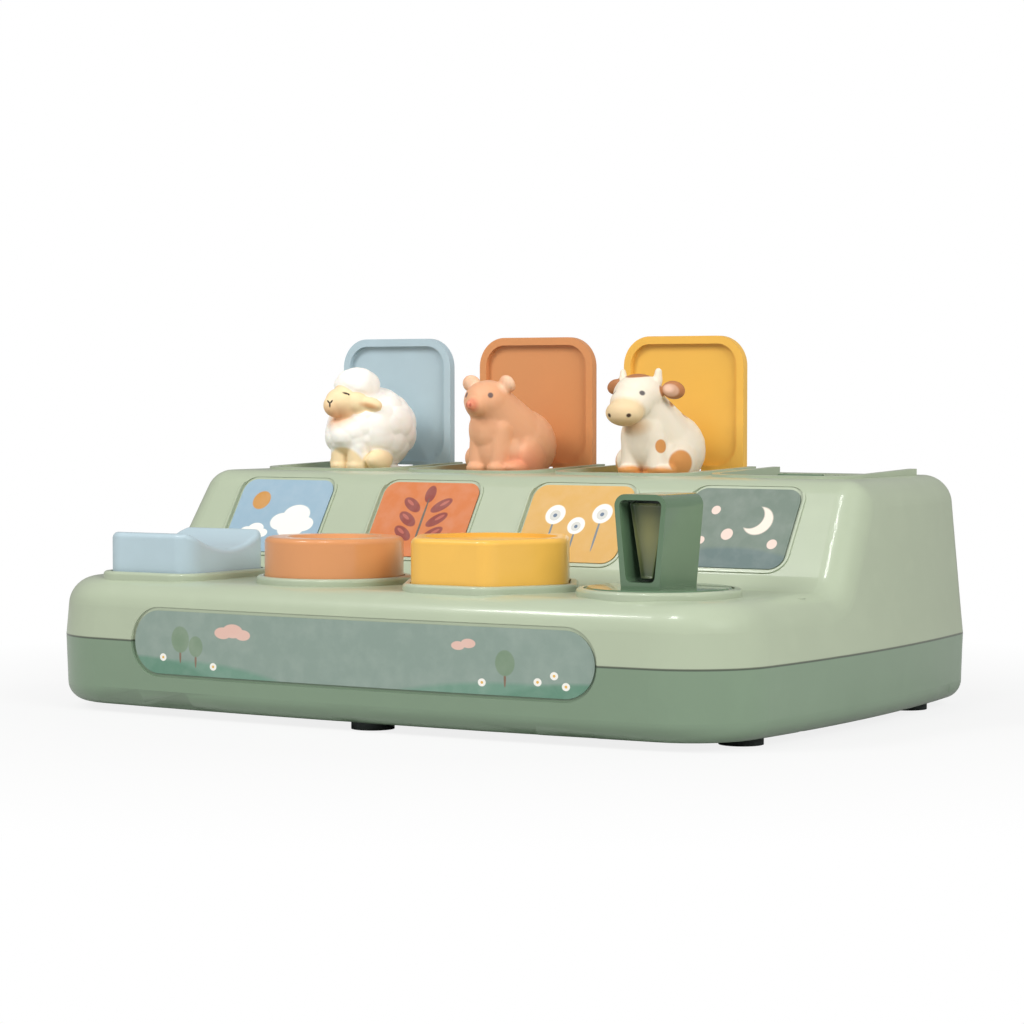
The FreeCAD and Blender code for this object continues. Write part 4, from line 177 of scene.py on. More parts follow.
class Finish:
    """A moulded or printed surface, built as one node tree."""

    def __init__(self, name, base, roughness):
        self.material = bpy.data.materials.new(name)
        self.material.use_nodes = True
        self.tree = self.material.node_tree
        self.shader = self.tree.nodes["Principled BSDF"]
        self.shader.inputs["Roughness"].default_value = roughness
        self.shader.inputs["Base Color"].default_value = (*base, 1.0)
        self.roughness = roughness
        self.coordinates = self.tree.nodes.new("ShaderNodeTexCoord").outputs["Object"]
        self.paint = None
        self.base = (*base, 1.0)

    def link(self, source, target):
        """Joins two sockets."""
        self.tree.links.new(source, target)

    def noise(self, scale, detail=2.0):
        """Cloudy noise, scale in grains to the metre."""
        cloud = self.tree.nodes.new("ShaderNodeTexNoise")
        cloud.inputs["Scale"].default_value = scale
        cloud.inputs["Detail"].default_value = detail
        self.link(self.coordinates, cloud.inputs["Vector"])
        return cloud.outputs["Fac"]

    def ramp(self, value, low, high, out_low, out_high):
        """Stretches a value between two limits."""
        stretch = self.tree.nodes.new("ShaderNodeMapRange")
        for name, number in (("From Min", low), ("From Max", high),
                             ("To Min", out_low), ("To Max", out_high)):
            stretch.inputs[name].default_value = number
        self.link(value, stretch.inputs["Value"])
        return stretch.outputs["Result"]

    def layer(self, factor, tint):
        """Lays a tint over the paint where the factor is one."""
        mix = self.tree.nodes.new("ShaderNodeMix")
        mix.data_type = "RGBA"
        self.link(factor, mix.inputs["Factor"])
        if self.paint is None:
            socket_pair(mix, "A").default_value = self.base
        else:
            self.link(self.paint, socket_pair(mix, "A"))
        socket_pair(mix, "B").default_value = (*tint, 1.0)
        self.paint = [s for s in mix.outputs if s.type == "RGBA"][0]
        return self

    def mottle(self, amount, scale=22.0):
        """Slight cloudiness of the pigment."""
        dark = tuple(c * (1 - amount) for c in self.base[:3])
        light = tuple(min(1.0, c * (1 + amount)) for c in self.base[:3])
        self.layer(self.ramp(self.noise(scale), 0.35, 0.65, 0.0, 1.0), dark)
        self.layer(self.ramp(self.noise(scale * 3.1), 0.5, 0.8, 0.0, 1.0), light)
        return self

    def grain(self, depth, scale=500.0, spread=0.05):
        """Fine moulded grain in the surface and in its gloss."""
        bump = self.tree.nodes.new("ShaderNodeBump")
        bump.inputs["Strength"].default_value = 0.25
        bump.inputs["Distance"].default_value = depth
        self.link(self.noise(scale, 3.0), bump.inputs["Height"])
        self.link(bump.outputs["Normal"], self.shader.inputs["Normal"])
        gloss = self.ramp(self.noise(40.0), 0.0, 1.0,
                          self.roughness - spread, self.roughness + spread)
        self.link(gloss, self.shader.inputs["Roughness"])
        return self

    def gloss(self, weight, roughness=0.12):
        """The shine of a polished mould over the colour."""
        self.shader.inputs["Coat Weight"].default_value = weight
        self.shader.inputs["Coat Roughness"].default_value = roughness
        return self

    def depth(self, weight, radius=0.002):
        """Soft vinyl lets a little light in."""
        self.shader.inputs["Subsurface Weight"].default_value = weight
        self.shader.inputs["Subsurface Radius"].default_value = (1.0, 0.6, 0.4)
        self.shader.inputs["Subsurface Scale"].default_value = radius
        return self

    def placed(self, centre, turn, scale, coordinates=None):
        """Coordinates of a smaller patch: its centre, turn and unit length."""
        mapping = self.tree.nodes.new("ShaderNodeMapping")
        mapping.vector_type = "TEXTURE"
        mapping.inputs["Location"].default_value = centre
        mapping.inputs["Rotation"].default_value = turn
        mapping.inputs["Scale"].default_value = scale
        self.link(coordinates or self.coordinates, mapping.inputs["Vector"])
        return mapping.outputs["Vector"]

    def spot(self, tint, centre, radii, turn=(0.0, 0.0, 0.0), edge=0.05, coordinates=None):
        """A painted oval, or in space the part of the surface inside an egg."""
        local = self.placed(centre, turn, radii, coordinates)
        length = self.tree.nodes.new("ShaderNodeVectorMath")
        length.operation = "LENGTH"
        self.link(local, length.inputs[0])
        return self.layer(self.ramp(length.outputs["Value"], 1 - edge, 1 + edge, 1.0, 0.0),
                          tint)

    def done(self):
        """Joins the paint to the shader and hands over the material."""
        if self.paint is not None:
            self.link(self.paint, self.shader.inputs["Base Color"])
        return self.material


def moulded(name, tint, roughness=0.36, gloss=0.25):
    """Plain moulded plastic."""
    return (Finish(name, tuple(tint), roughness).mottle(0.025).grain(PLASTIC_GRAIN)
            .gloss(gloss).done())


def steel(name, tint, roughness):
    """Plated wire and rod."""
    finish = Finish(name, tint, roughness)
    finish.shader.inputs["Metallic"].default_value = 1.0
    return finish.mottle(0.06, 90.0).grain(PLASTIC_GRAIN, 2200.0).done()


def dress(material, *names):
    """Gives construction nodes their finish."""
    for name in names:
        node = frame["nodes"][name]
        if not node.material_slots:
            node.data.materials.append(material)
        for place in node.material_slots:
            place.material = material


def numbered(stem):
    """The four nodes of the same kind."""
    return [f"{stem}_{k}" for k in (1, 2, 3, 4)]


# Mesh building

def local_matrix(origin, place, radii, turn):
    """Place, turn and stretch of a round form in a figure, in millimetres from its origin."""
    return (Matrix.Translation(Vector(origin) + Vector(place) * MM)
            @ Euler([math.radians(a) for a in turn]).to_matrix().to_4x4()
            @ Matrix.Diagonal((*(r * MM for r in radii), 1.0)))


def egg(bm, origin, place, radii, turn=(0.0, 0.0, 0.0), detail=3):
    """An egg-shaped form."""
    bmesh.ops.create_icosphere(bm, subdivisions=detail, radius=1.0,
                               matrix=local_matrix(origin, place, radii, turn))


def taper(bm, origin, foot, top, foot_radius, top_radius, sides=24):
    """A tapering round form between two points, closed at both ends."""
    a, b = (Vector(origin) + Vector(p) * MM for p in (foot, top))
    axis = b - a
    matrix = (Matrix.Translation((a + b) / 2)
              @ UP.rotation_difference(axis.normalized()).to_matrix().to_4x4())
    bmesh.ops.create_cone(bm, cap_ends=True, segments=sides, radius1=foot_radius * MM,
                          radius2=top_radius * MM, depth=axis.length, matrix=matrix)
    for point, radius in ((a, foot_radius), (b, top_radius)):
        bmesh.ops.create_icosphere(bm, subdivisions=3, radius=radius * MM,
                                   matrix=Matrix.Translation(point))


def new_object(name, bm):
    """An object at the origin from a finished mesh."""
    mesh = bpy.data.meshes.new(name)
    bm.to_mesh(mesh)
    bm.free()
    made = bpy.data.objects.new(name, mesh)
    bpy.context.scene.collection.objects.link(made)
    return made


def settled(piece):
    """Applies the modifiers of a piece."""
    graph = bpy.context.evaluated_depsgraph_get()
    mesh = bpy.data.meshes.new_from_object(piece.evaluated_get(graph))
    piece.modifiers.clear()
    old = piece.data
    piece.data = mesh
    bpy.data.meshes.remove(old)
    return piece


def skinned(name, bm, step, rounds):
    """One moulded skin round forms that overlap, with softened joints."""
    piece = new_object(name, bm)
    remesh = piece.modifiers.new("skin", "REMESH")
    remesh.mode = "VOXEL"
    remesh.voxel_size = step
    soften = piece.modifiers.new("soften", "SMOOTH")
    soften.factor = 0.5
    soften.iterations = rounds
    return settled(piece)


def reshape(piece, move):
    """Moves every point of a piece by a rule, and shades it smooth."""
    bm = bmesh.new()
    bm.from_mesh(piece.data)
    bm.normal_update()
    for vert in bm.verts:
        vert.co = move(vert.co, vert.normal)
    for face in bm.faces:
        face.smooth = True
    bm.to_mesh(piece.data)
    bm.free()


def attach(piece, material, body, slot, *nodes):
    """Finish, body and the nodes that a piece stands for; the slot is not used."""
    piece.data.materials.clear()
    piece.data.materials.append(material)
    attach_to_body(piece, body)
    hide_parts(*nodes)
    return piece


# Figures: places and radii in millimetres from the middle of the lift's top,
# with the animal looking to -Y

SHEEP = (
    # place, radii, turn in degrees
    ((2.2, 6, 25), (20.3, 20, 18.8), (0, 0, 0)),
    ((-0.4, -6.3, 22), (12.2, 11.2, 10.2), (0, 0, 0)),
    ((0.5, -4, 36), (10.5, 10, 9), (0, 0, 0)),
    ((0.5, -3, 43.2), (10.2, 10.2, 9), (0, 0, 0)),
    ((-2, -10, 36.5), (8.2, 8.8, 7.2), (-15, 0, -20)),
    ((-4.0, -14, 35.4), (5, 5.6, 5.3), (-15, 0, -20)),
    ((4.2, -10, 36.6), (6, 4.6, 4.8), (0, 6, 14)),
    ((12, -8.5, 36.3), (5.4, 2.6, 2.9), (0, 14, 12)),
    ((-10.5, -2, 36.3), (4.4, 2.4, 2.8), (0, -14, -12)),
    ((-3.6, -10.5, 8.6), (4.6, 5, 2.9), (0, 0, 0)),
    ((5.4, -10.5, 8.6), (4.6, 5, 2.9), (0, 0, 0)),
    ((13.8, -5, 11), (5, 8, 4.8), (0, 0, 0)),
    ((-9, -2, 10), (5, 6, 4), (0, 0, 0)),
)
SHEEP_LEGS = (
    ((-3.6, -10.5, 8), (-3.6, -10, 17), 4.3, 4.6),
    ((5.4, -10.5, 8), (5.4, -10, 17), 4.3, 4.6),
)
PIG = (
    ((4, 10.2, 18), (16, 15.6, 16.3), (0, 0, 0)),
    ((-1.2, -9.2, 37.5), (10.4, 10.2, 9.3), (0, 0, -6)),
    ((-0.5, -9.5, 25), (9.2, 7, 11), (0, 0, 0)),
    ((-1.1, -17, 36), (5.6, 5.2, 4.8), (0, 0, 0)),
    ((13.2, 3, 13.5), (6.6, 10.6, 9.4), (0, 0, 8)),
    ((-10.5, 1.5, 12.5), (6.6, 10.2, 7), (0, 0, 0)),
    ((12.5, -7.5, 8.8), (4.6, 7, 2.9), (0, 0, 0)),
    ((-8.2, -5, 8.4), (4, 5.6, 2.5), (0, 0, 0)),
    ((-4.6, -12.5, 8.6), (4.6, 5, 2.6), (0, 0, 0)),
    ((6.2, -12.5, 8.6), (4.7, 5, 2.6), (0, 0, 0)),
    ((7.8, -7, 45.1), (4.3, 2.2, 4.2), (24, 22, 0)),
    ((-10, -8, 45.1), (4.4, 2.2, 4.2), (24, -22, 0)),
    ((5, -3, 14), (10, 9, 10), (0, 0, 0)),
    ((0.9, -9, 17), (8.6, 6, 12), (0, 0, 0)),
    ((2, 24.4, 20), (2, 2, 2), (0, 0, 0)),
)
PIG_LEGS = (
    ((3.2, 9.5, 18), (-0.8, -8.5, 36.8), 16, 10.1),
    ((-1.1, -20, 36), (-1.1, -22.6, 36), 2.5, 2.3),
    ((-4.6, -11, 9), (-4.4, -9.5, 25), 4.4, 4.6),
    ((6.2, -11, 9), (6, -9.5, 25), 4.5, 5),
)
COW = (
    ((3.3, 9.8, 17), (16.4, 16, 16.4), (0, 0, 0)),
    ((-0.9, -8.3, 40.2), (11, 10.4, 9.2), (0, 0, 0)),
    ((1.2, -7.6, 22), (10.4, 7.6, 13.5), (0, 0, 0)),
    ((6, -3, 13), (9.5, 9, 9), (0, 0, 0)),
    ((-0.9, -14.5, 36.8), (9.6, 7.6, 7.6), (0, 0, 0)),
    ((-0.9, -20.2, 32.9), (8.7, 5.8, 5.8), (0, 0, 0)),
    ((14.7, -6, 42.4), (5.3, 2.4, 4.0), (0, 10, 10)),
    ((-13.4, -5.5, 43.8), (4.8, 2.4, 3.4), (0, -12, -10)),
    ((13.4, 2.5, 12.5), (6.6, 10.4, 8.6), (0, 0, 8)),
    ((-9.5, 1, 12), (6, 9.5, 7), (0, 0, 0)),
    ((12, -8, 8.6), (4.6, 6.5, 2.8), (0, 0, 0)),
    ((-3.4, -12.5, 8.6), (4.6, 5, 2.6), (0, 0, 0)),
    ((2, 24.4, 16), (1.8, 1.8, 4), (0, 0, 0)),
)
COW_LEGS = (
    ((2.8, 9.2, 17.5), (-0.1, -6.5, 36), 16, 9.8),
    ((-3.4, -10.5, 9), (-3.4, -9, 24), 4.2, 4.8),
    ((9.0, -9.5, 9), (7.4, -8.2, 22), 4.5, 4.6),
    ((6.8, -5.5, 46), (7.0, -5.2, 50.2), 2.1, 1.6),
    ((-9.9, -5.5, 46), (-10.2, -5.2, 50.1), 2.0, 1.4),
)
PLINTH = ((1.5, 4, 4.5), (17, 18, 5.2), (0, 0, 0))
HEN = (
    ((0, 5, 17), (15.5, 18, 16.5), (0, 0, 0)),
    ((0, -5, 21), (12.5, 11.5, 14), (0, 0, 0)),
    ((0, -8, 33), (8.2, 8.2, 10), (0, 0, 0)),
    ((0, -9, 40), (7.8, 8, 7.6), (0, 0, 0)),
    ((0, 18.5, 29), (4.5, 6.5, 11), (-30, 0, 0)),
    ((14.5, 5, 18), (3.4, 12, 8.5), (14, 0, -4)),
    ((-14.5, 5, 18), (3.4, 12, 8.5), (14, 0, 4)),
    ((0, -12.5, 48), (1.7, 3.2, 3.2), (0, 0, 0)),
    ((0, -8.5, 49), (1.7, 3.4, 3.4), (0, 0, 0)),
    ((0, -4.6, 47.6), (1.7, 3.2, 3.2), (0, 0, 0)),
    ((0, -17, 34.5), (2.4, 2.2, 3.4), (0, 0, 0)),
    ((7, -5, 2.2), (5.5, 9, 2.6), (0, 0, 0)),
    ((-7, -5, 2.2), (5.5, 9, 2.6), (0, 0, 0)),
)
HEN_LEGS = (
    ((0, -15, 39.5), (0, -21.5, 38), 2.8, 0.8),
)


def figure_origin(channel):
    """Middle of the top of a lift, raised or not, as the construction model has it."""
    low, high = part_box(f"lift_{channel}")
    return Vector((CHANNELS[channel - 1], LIFT_MIDDLE_Y, high.z))


def figure_skin(name, channel, forms, tapers, rounds):
    """The moulded skin of a figure, with a flat sole on its lift."""
    sizes = bpy.context.scene.toy_sizes
    origin = figure_origin(channel)
    bm = bmesh.new()
    for place, radii, turn in (*forms, PLINTH):
        egg(bm, origin, place, radii, turn)
    for foot, top, foot_radius, top_radius in tapers:
        taper(bm, origin, foot, top, foot_radius, top_radius)
    piece = skinned(f"{name}_figure", bm, sizes.skin_step, rounds)
    sole = origin.z + SOLE_GAP
    reshape(piece, lambda co, normal: Vector((co.x, co.y, max(co.z, sole))))
    return piece, origin


def inside(co, origin, place, radii):
    """How far inside an egg a point lies: one at its middle, nought on its skin."""
    local = (co - origin) / MM - Vector(place)
    return 1 - math.sqrt(sum((local[k] / radii[k]) ** 2 for k in range(3)))


def quarter(across, out, up):
    """A place by how far it lies across, out of and up a figure turned a quarter way round."""
    cos, sin = math.cos(math.radians(QUARTER)), math.sin(math.radians(QUARTER))
    return (across * cos + out * sin, across * sin - out * cos, up)


class FigurePaint(Finish):
    """Painted vinyl of a figure; places in millimetres from its origin."""

    def __init__(self, name, base, origin, roughness=0.46):
        super().__init__(name, tuple(base), roughness)
        self.own = self.placed(tuple(origin), (0.0, 0.0, 0.0), (MM, MM, MM))

    def dab(self, tint, place, radii, turn=(0.0, 0.0, 0.0), edge=0.05):
        """Paint on the skin inside an egg."""
        return self.spot(tint, place, radii, tuple(math.radians(a) for a in turn), edge,
                         self.own)

    def both(self, tint, place, radii, turn=(0.0, 0.0, 0.0), edge=0.05):
        """The same dab on the left and the right."""
        self.dab(tint, place, radii, turn, edge)
        mirrored = (-place[0], place[1], place[2])
        return self.dab(tint, mirrored, radii, (turn[0], -turn[1], -turn[2]), edge)

    def mottle_over(self, amount):
        """Slight cloudiness over all the paint."""
        cloud = self.ramp(self.noise(120.0, 3.0), 0.4, 0.75, 0.0, 0.05 * amount)
        return self.layer(cloud, (0.35, 0.3, 0.25))


class TOY_OT_sheep(bpy.types.Operator):
    """Sheep: dented wool, bare face, drooping ears and short legs"""
    bl_idname = "toy.sheep"
    bl_label = "Sheep"

    def execute(self, context):
        colours, sizes = context.scene.toy_colours, context.scene.toy_sizes
        piece, origin = figure_skin("sheep", 1, SHEEP, SHEEP_LEGS, 6)
        skin_patches = (
            ((-2.4, -11.6, 36.5), (8.9, 10.8, 7.9), (-15, 0, -20), 0.03),
            ((5.4, -11.5, 36.6), (6.2, 6.5, 5.0), (0, 6, 14), 0.04),
            ((12.2, -10, 36.3), (6.4, 5, 3.6), (0, 14, 12), 0.05),
            ((-12, -2.4, 36.3), (5, 4, 3.6), (0, -14, -12), 0.05),
            ((0.9, -15.5, 6), (11, 8.6, 10.8), (0, 0, 0), 0.06),
            ((14, -6, 8.6), (6.8, 9.6, 7.4), (0, 0, 0), 0.06),
            ((-11, -4, 7), (6, 8, 7), (0, 0, 0), 0.06),
            ((1.5, 2, 0), (24, 26, 7.2), (0, 0, 0), 0.06),
        )

        def puffed(co, normal):
            cover = min(-inside(co, origin, place, radii) for place, radii, *_ in skin_patches)
            cover = min(1.0, max(0.0, cover * 4))
            near = noise.voronoi(co / sizes.wool_pitch)[0][0]
            return co + normal * sizes.wool_depth * cover * (0.45 - near * near)

        reshape(piece, puffed)
        paint = FigurePaint("sheep_vinyl", colours.wool, origin, 0.55)
        skin = tuple(colours.fleece_skin)
        dark = linear(62, 50, 40)
        for place, radii, turn, edge in skin_patches:
            paint.dab(skin, place, radii, turn, edge)
        # Painted shade: a soft darker peach under the cheeks on the lower face
        paint.dab(linear(236, 186, 142), (-3.5, -15, 31), (8, 8, 4.6), edge=0.6)
        paint.dab(linear(224, 172, 122), (12.6, -11.4, 35.2), (3.6, 2.6, 1.2), (0, 14, 12), 0.5)
        paint.mottle_over(0.5)
        paint.dab(dark, quarter(-5.7, 13.9, 40.9), (1.6, 3.0, 0.42), (0, 14, QUARTER), 0.25)
        paint.dab(dark, quarter(-4.5, 13.7, 40.4), (0.5, 3.0, 0.36), (0, 50, QUARTER), 0.25)
        paint.dab(dark, (-8.8, -10.8, 40.9), (1.6, 3.0, 0.42), (0, -14, -72), 0.25)
        for lean in (-1, 1):
            paint.dab(dark, quarter(-12.9 + lean * 0.7, 14.4, 37.2), (0.38, 3.0, 0.95),
                      (0, lean * 38, QUARTER), 0.25)
        paint.dab(dark, quarter(-12.9, 14.4, 35.8), (0.38, 3.0, 1.2), (0, 0, QUARTER), 0.25)
        paint.grain(VINYL_GRAIN, 700.0).depth(0.12)
        attach(piece, paint.done(), "lift_1_body", "figure_sheep", "sheep")
        return {"FINISHED"}


class TOY_OT_pig(bpy.types.Operator):
    """Pig: sitting, with a round snout and ears that tip forward"""
    bl_idname = "toy.pig"
    bl_label = "Pig"

    def execute(self, context):
        colours = context.scene.toy_colours
        piece, origin = figure_skin("pig", 2, PIG, PIG_LEGS, 5)
        paint = FigurePaint("pig_vinyl", colours.pig_skin, origin)
        rosy, light = linear(228, 142, 112), linear(246, 208, 178)
        paint.dab(rosy, (-1.1, -22.6, 36), (3.0, 3.4, 3.0), edge=0.35)
        paint.both(light, (9.2, -9.6, 45.1), (3.4, 2.8, 3.4), edge=0.5)
        paint.dab(linear(234, 152, 116), (15, -4, 10), (8, 9, 6), edge=0.8)
        # Painted highlight: a soft lighter peach patch on the front of the hind thigh
        paint.dab(linear(240, 188, 150), quarter(6.5, 18, 18), (3.4, 8, 2.4),
                  (0, -20, QUARTER), 0.8)
        paint.mottle_over(0.6)
        grey = linear(116, 96, 92)
        for side in (-1, 1):
            paint.dab(grey, (-0.8 + side * 6.2, -16.8, 40.2), (1.2, 2.2, 1.2),
                      (0, 0, side * 40), 0.2)
            paint.dab(linear(186, 100, 78), (-1.1 + side * 0.9, -24.6, 36), (0.5, 2, 0.8),
                      edge=0.4)
        paint.grain(VINYL_GRAIN, 700.0).depth(0.15)
        attach(piece, paint.done(), "lift_2_body", "figure_pig", "pig")
        return {"FINISHED"}


class TOY_OT_cow(bpy.types.Operator):
    """Cow: cream with brown patches, a broad muzzle, horns and wide ears"""
    bl_idname = "toy.cow"
    bl_label = "Cow"

    def execute(self, context):
        colours = context.scene.toy_colours
        piece, origin = figure_skin("cow", 3, COW, COW_LEGS, 5)
        paint = FigurePaint("cow_vinyl", colours.cow_hide, origin)
        brown, tan = tuple(colours.cow_patch), linear(214, 148, 84)
        paint.dab(linear(232, 206, 164), (-0.9, -21, 32.4), (10.2, 6.8, 6.9), edge=0.12)
        paint.dab(linear(214, 174, 122), (-0.9, -19, 27.4), (9, 6, 3.4), edge=0.6)
        paint.dab(brown, (-1, -8, 50.6), (6.8, 9, 4.2), edge=0.06)
        paint.dab(brown, (15.4, -6, 42.4), (7.0, 4.2, 5.4), (0, 10, 10), 0.05)
        paint.dab(brown, (-14.6, -5.5, 43.8), (5.2, 4, 4.8), (0, -12, -10), 0.05)
        paint.dab(brown, quarter(9.6, 9, 37.4), (1.8, 9, 2.2), (0, 0, QUARTER), 0.2)
        paint.dab(brown, quarter(15.5, 2, 32.5), (2.8, 9, 1.6), (0, 42, QUARTER), 0.15)
        paint.dab(tan, quarter(3.9, 16, 18.8), (2.4, 8, 2.9), (0, 0, QUARTER), 0.08)
        paint.dab(tan, quarter(12.4, 13, 11.6), (5.2, 9, 5.6), (0, 0, QUARTER), 0.08)
        paint.dab(tan, (-14, 3, 10), (8, 11, 7.4), edge=0.08)
        paint.dab(brown, (-15, 16, 24), (7, 8, 6), edge=0.06)
        paint.dab(brown, (4, 25, 24), (7, 5, 6), edge=0.06)
        paint.dab(tan, (0.5, -15, 5), (15, 8, 5.6), edge=0.12)
        paint.dab(tan, (12, -10, 6), (6, 8, 4.6), edge=0.12)
        paint.dab(linear(208, 164, 136), (14.4, -8.4, 42.3), (3.9, 2.6, 2.7), (0, 10, 10), 0.12)
        paint.dab(linear(236, 196, 172), (13.4, -8.8, 43), (2.4, 2, 1.5), (0, 10, 10), 0.4)
        paint.mottle_over(0.5)
        grey = linear(104, 98, 96)
        for side in (-1, 1):
            paint.dab(grey, (-0.7 + side * 6.1, -16.6, 41.0), (1.35, 2.4, 1.15),
                      (0, 0, side * 36), 0.2)
            paint.dab(linear(70, 50, 38), (-0.9 + side * 4.9, -25.2, 31.8), (1.05, 2.2, 0.85),
                      (0, side * -14, side * 30), 0.25)
        paint.grain(VINYL_GRAIN, 700.0).depth(0.12)
        attach(piece, paint.done(), "lift_3_body", "figure_cow", "cow")
        return {"FINISHED"}


class TOY_OT_hen(bpy.types.Operator):
    """Hen: the fourth figure, shut under its lid"""
    bl_idname = "toy.hen"
    bl_label = "Hen"

    def execute(self, context):
        colours = context.scene.toy_colours
        piece, origin = figure_skin("hen", 4, HEN, HEN_LEGS, 5)
        paint = FigurePaint("hen_vinyl", colours.feathers, origin)
        paint.both(linear(196, 158, 116), (16.5, 5, 18), (4.4, 12, 8.5), edge=0.08)
        paint.dab(linear(176, 116, 72), (0, 21, 33), (5.5, 6, 9), (-30, 0, 0), 0.1)
        paint.dab(linear(196, 96, 76), (0, -8.5, 49.5), (2.6, 8, 4.4), edge=0.08)
        paint.dab(linear(196, 96, 76), (0, -17.6, 34), (2.8, 2.8, 4), edge=0.1)
        paint.dab(linear(232, 176, 88), (0, -19.5, 38.6), (3, 4.4, 2.6), edge=0.08)
        paint.dab(linear(232, 176, 88), (0, -8, 0), (14, 9, 3.2), edge=0.1)
        paint.mottle_over(0.5)
        for side in (-1, 1):
            paint.dab(linear(84, 80, 82), (side * 6.4, -12.6, 42.0), (2, 1.1, 1.2), edge=0.15)
        paint.grain(VINYL_GRAIN, 700.0).depth(0.12)
        attach(piece, paint.done(), "lift_4_body", "figure_hen", "hen")
        return {"FINISHED"}


class TOY_OT_housing(bpy.types.Operator):
    """Upper shell, base tray, feet and screws"""
    bl_idname = "toy.housing"
    bl_label = "Housing"

    def execute(self, context):
        colours = context.scene.toy_colours
        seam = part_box("upper_shell")[0].z
        for name, tint, node in (("sage_plastic", colours.shell, "upper_shell"),
                                 ("tray_plastic", colours.tray, "base_tray")):
            shell = Finish(name, tuple(tint), 0.32).mottle(0.025)
            # Painted shade: a thin dark band along the seam where the shells meet
            shell.spot(tuple(0.3 * c for c in tint), (0.0, 0.0, seam), (10.0, 10.0, SEAM_SHADE_HALF_HEIGHT),
                       edge=0.4)
            dress(shell.grain(PLASTIC_GRAIN).gloss(0.35, 0.1).done(), node)
        rubber = Finish("foot_rubber_finish", tuple(colours.rubber), 0.72)
        rubber.mottle(0.1, 60.0).grain(0.00008, 1600.0)
        dress(rubber.done(), "rubber_feet")
        dress(steel("zinc_finish", (0.60, 0.60, 0.57), 0.34), "housing_screws")
        return {"FINISHED"}


def coil(node, wire):
    """A copy of a spring's mesh in the wire finish, in place of the hidden spring node."""
    bm = bmesh.new()
    bm.from_mesh(frame["nodes"][node].data)
    piece = new_object(f"{node}_coil", bm)
    piece.data.materials.append(wire)
    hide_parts(node)
    return piece


class TOY_OT_mechanism(bpy.types.Operator):
    """Wells, lifts, latches, shafts, pins and springs"""
    bl_idname = "toy.mechanism"
    bl_label = "Mechanism"

    def execute(self, context):
        colours = context.scene.toy_colours
        dress(moulded("inner_plastic", colours.inner, 0.4, 0.15), *numbered("well"),
              *numbered("latch"), "knob_shaft", "handle_shaft")
        dress(moulded("lift_plastic", colours.shell, 0.36, 0.25), *numbered("lift"))
        wire = steel("spring_finish", (0.55, 0.55, 0.54), 0.28)
        dress(wire, *numbered("lid_spring"))
        dress(steel("pin_finish", (0.62, 0.62, 0.60), 0.22), *numbered("lid_pin"),
              "rocker_pin")
        travels = {j["name"]: max(map(abs, j["range_m"]))
                   for j in frame["joints"] if j["type"] == "slide"}
        for k, node in enumerate(numbered("lift_spring"), start=1):
            low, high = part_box(node)
            piece = coil(node, wire)
            travel = travels[f"lift_{k}_slide"]
            if high.z - low.z > travel:
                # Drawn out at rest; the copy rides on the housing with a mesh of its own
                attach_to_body(piece, "housing")
                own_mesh(piece)
            else:
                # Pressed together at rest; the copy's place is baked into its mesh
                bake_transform(piece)
        for k, node in enumerate(numbered("latch_spring"), start=1):
            low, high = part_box(node)
            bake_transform(coil(node, wire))
        return {"FINISHED"}


class TOY_OT_controls(bpy.types.Operator):
    """Rocker, round knob, six-sided button and twist handle"""
    bl_idname = "toy.controls"
    bl_label = "Controls"

    def execute(self, context):
        colours = context.scene.toy_colours
        dress(moulded("blue_plastic_finish", colours.blue, 0.3, 0.35), "rocker")
        dress(moulded("terracotta_plastic_finish", colours.terracotta, 0.3, 0.35), "knob")
        dress(moulded("yellow_plastic_finish", colours.yellow, 0.3, 0.35), "push_button")
        glossy = Finish("green_plastic_finish", tuple(colours.green), 0.24).mottle(0.03)
        dress(glossy.grain(PLASTIC_GRAIN).gloss(0.8, 0.05).done(), "turn_disc", "turn_grip")
        # The core of the handle: a web across the loop and a wedge through it
        low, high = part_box("grip_core")
        middle = (low + high) / 2
        wide, deep, tall = high - low
        bm = bmesh.new()
        bm.from_mesh(frame["nodes"]["grip_core"].data)
        for vert in bm.verts:
            vert.co.y = middle.y + (vert.co.y - middle.y) * 0.3
        wedge = bmesh.ops.create_cube(bm, size=1.0, matrix=Matrix.Translation(middle)
                                      @ Matrix.Diagonal((wide - 0.0032, deep, tall - 0.0024, 1.0)))
        for vert in wedge["verts"]:
            if vert.co.z < middle.z:
                vert.co.x = middle.x + (vert.co.x - middle.x) * 0.34
        ends = [f for f in {f for v in wedge["verts"] for f in v.link_faces}
                if abs(f.normal.y) > 0.9]
        bmesh.ops.inset_individual(bm, faces=ends, thickness=0.0012, depth=-0.0016)
        core = new_object("handle_core", bm)
        bevel = core.modifiers.new("edges", "BEVEL")
        bevel.width, bevel.segments, bevel.limit_method = 0.0004, 2, "ANGLE"
        # Painted shade: the core is coloured darker than the handle to stand for the deep channel
        # in the loop; soft olive patches on its front and back
        dark = Finish("handle_core_finish", tuple(0.55 * c for c in colours.green), 0.24)
        for side in (-1, 1):
            dark.spot(linear(140, 138, 84), (middle.x, middle.y + side * deep / 2,
                                             middle.z + tall * 0.1),
                      (wide * 0.3, 0.003, tall * 0.42), edge=0.6)
        dark.grain(PLASTIC_GRAIN).gloss(0.8, 0.05)
        attach(settled(core), dark.done(), "handle_body", "green_plastic", "grip_core")
        return {"FINISHED"}


class TOY_OT_lids(bpy.types.Operator):
    """The four hinged lids"""
    bl_idname = "toy.lids"
    bl_label = "Lids"

    def execute(self, context):
        colours = context.scene.toy_colours
        for k, name in enumerate(("blue", "terracotta", "yellow", "green"), start=1):
            dress(moulded(f"{name}_lid_finish", getattr(colours, name), 0.4, 0.15),
                  f"lid_{k}")
        return {"FINISHED"}


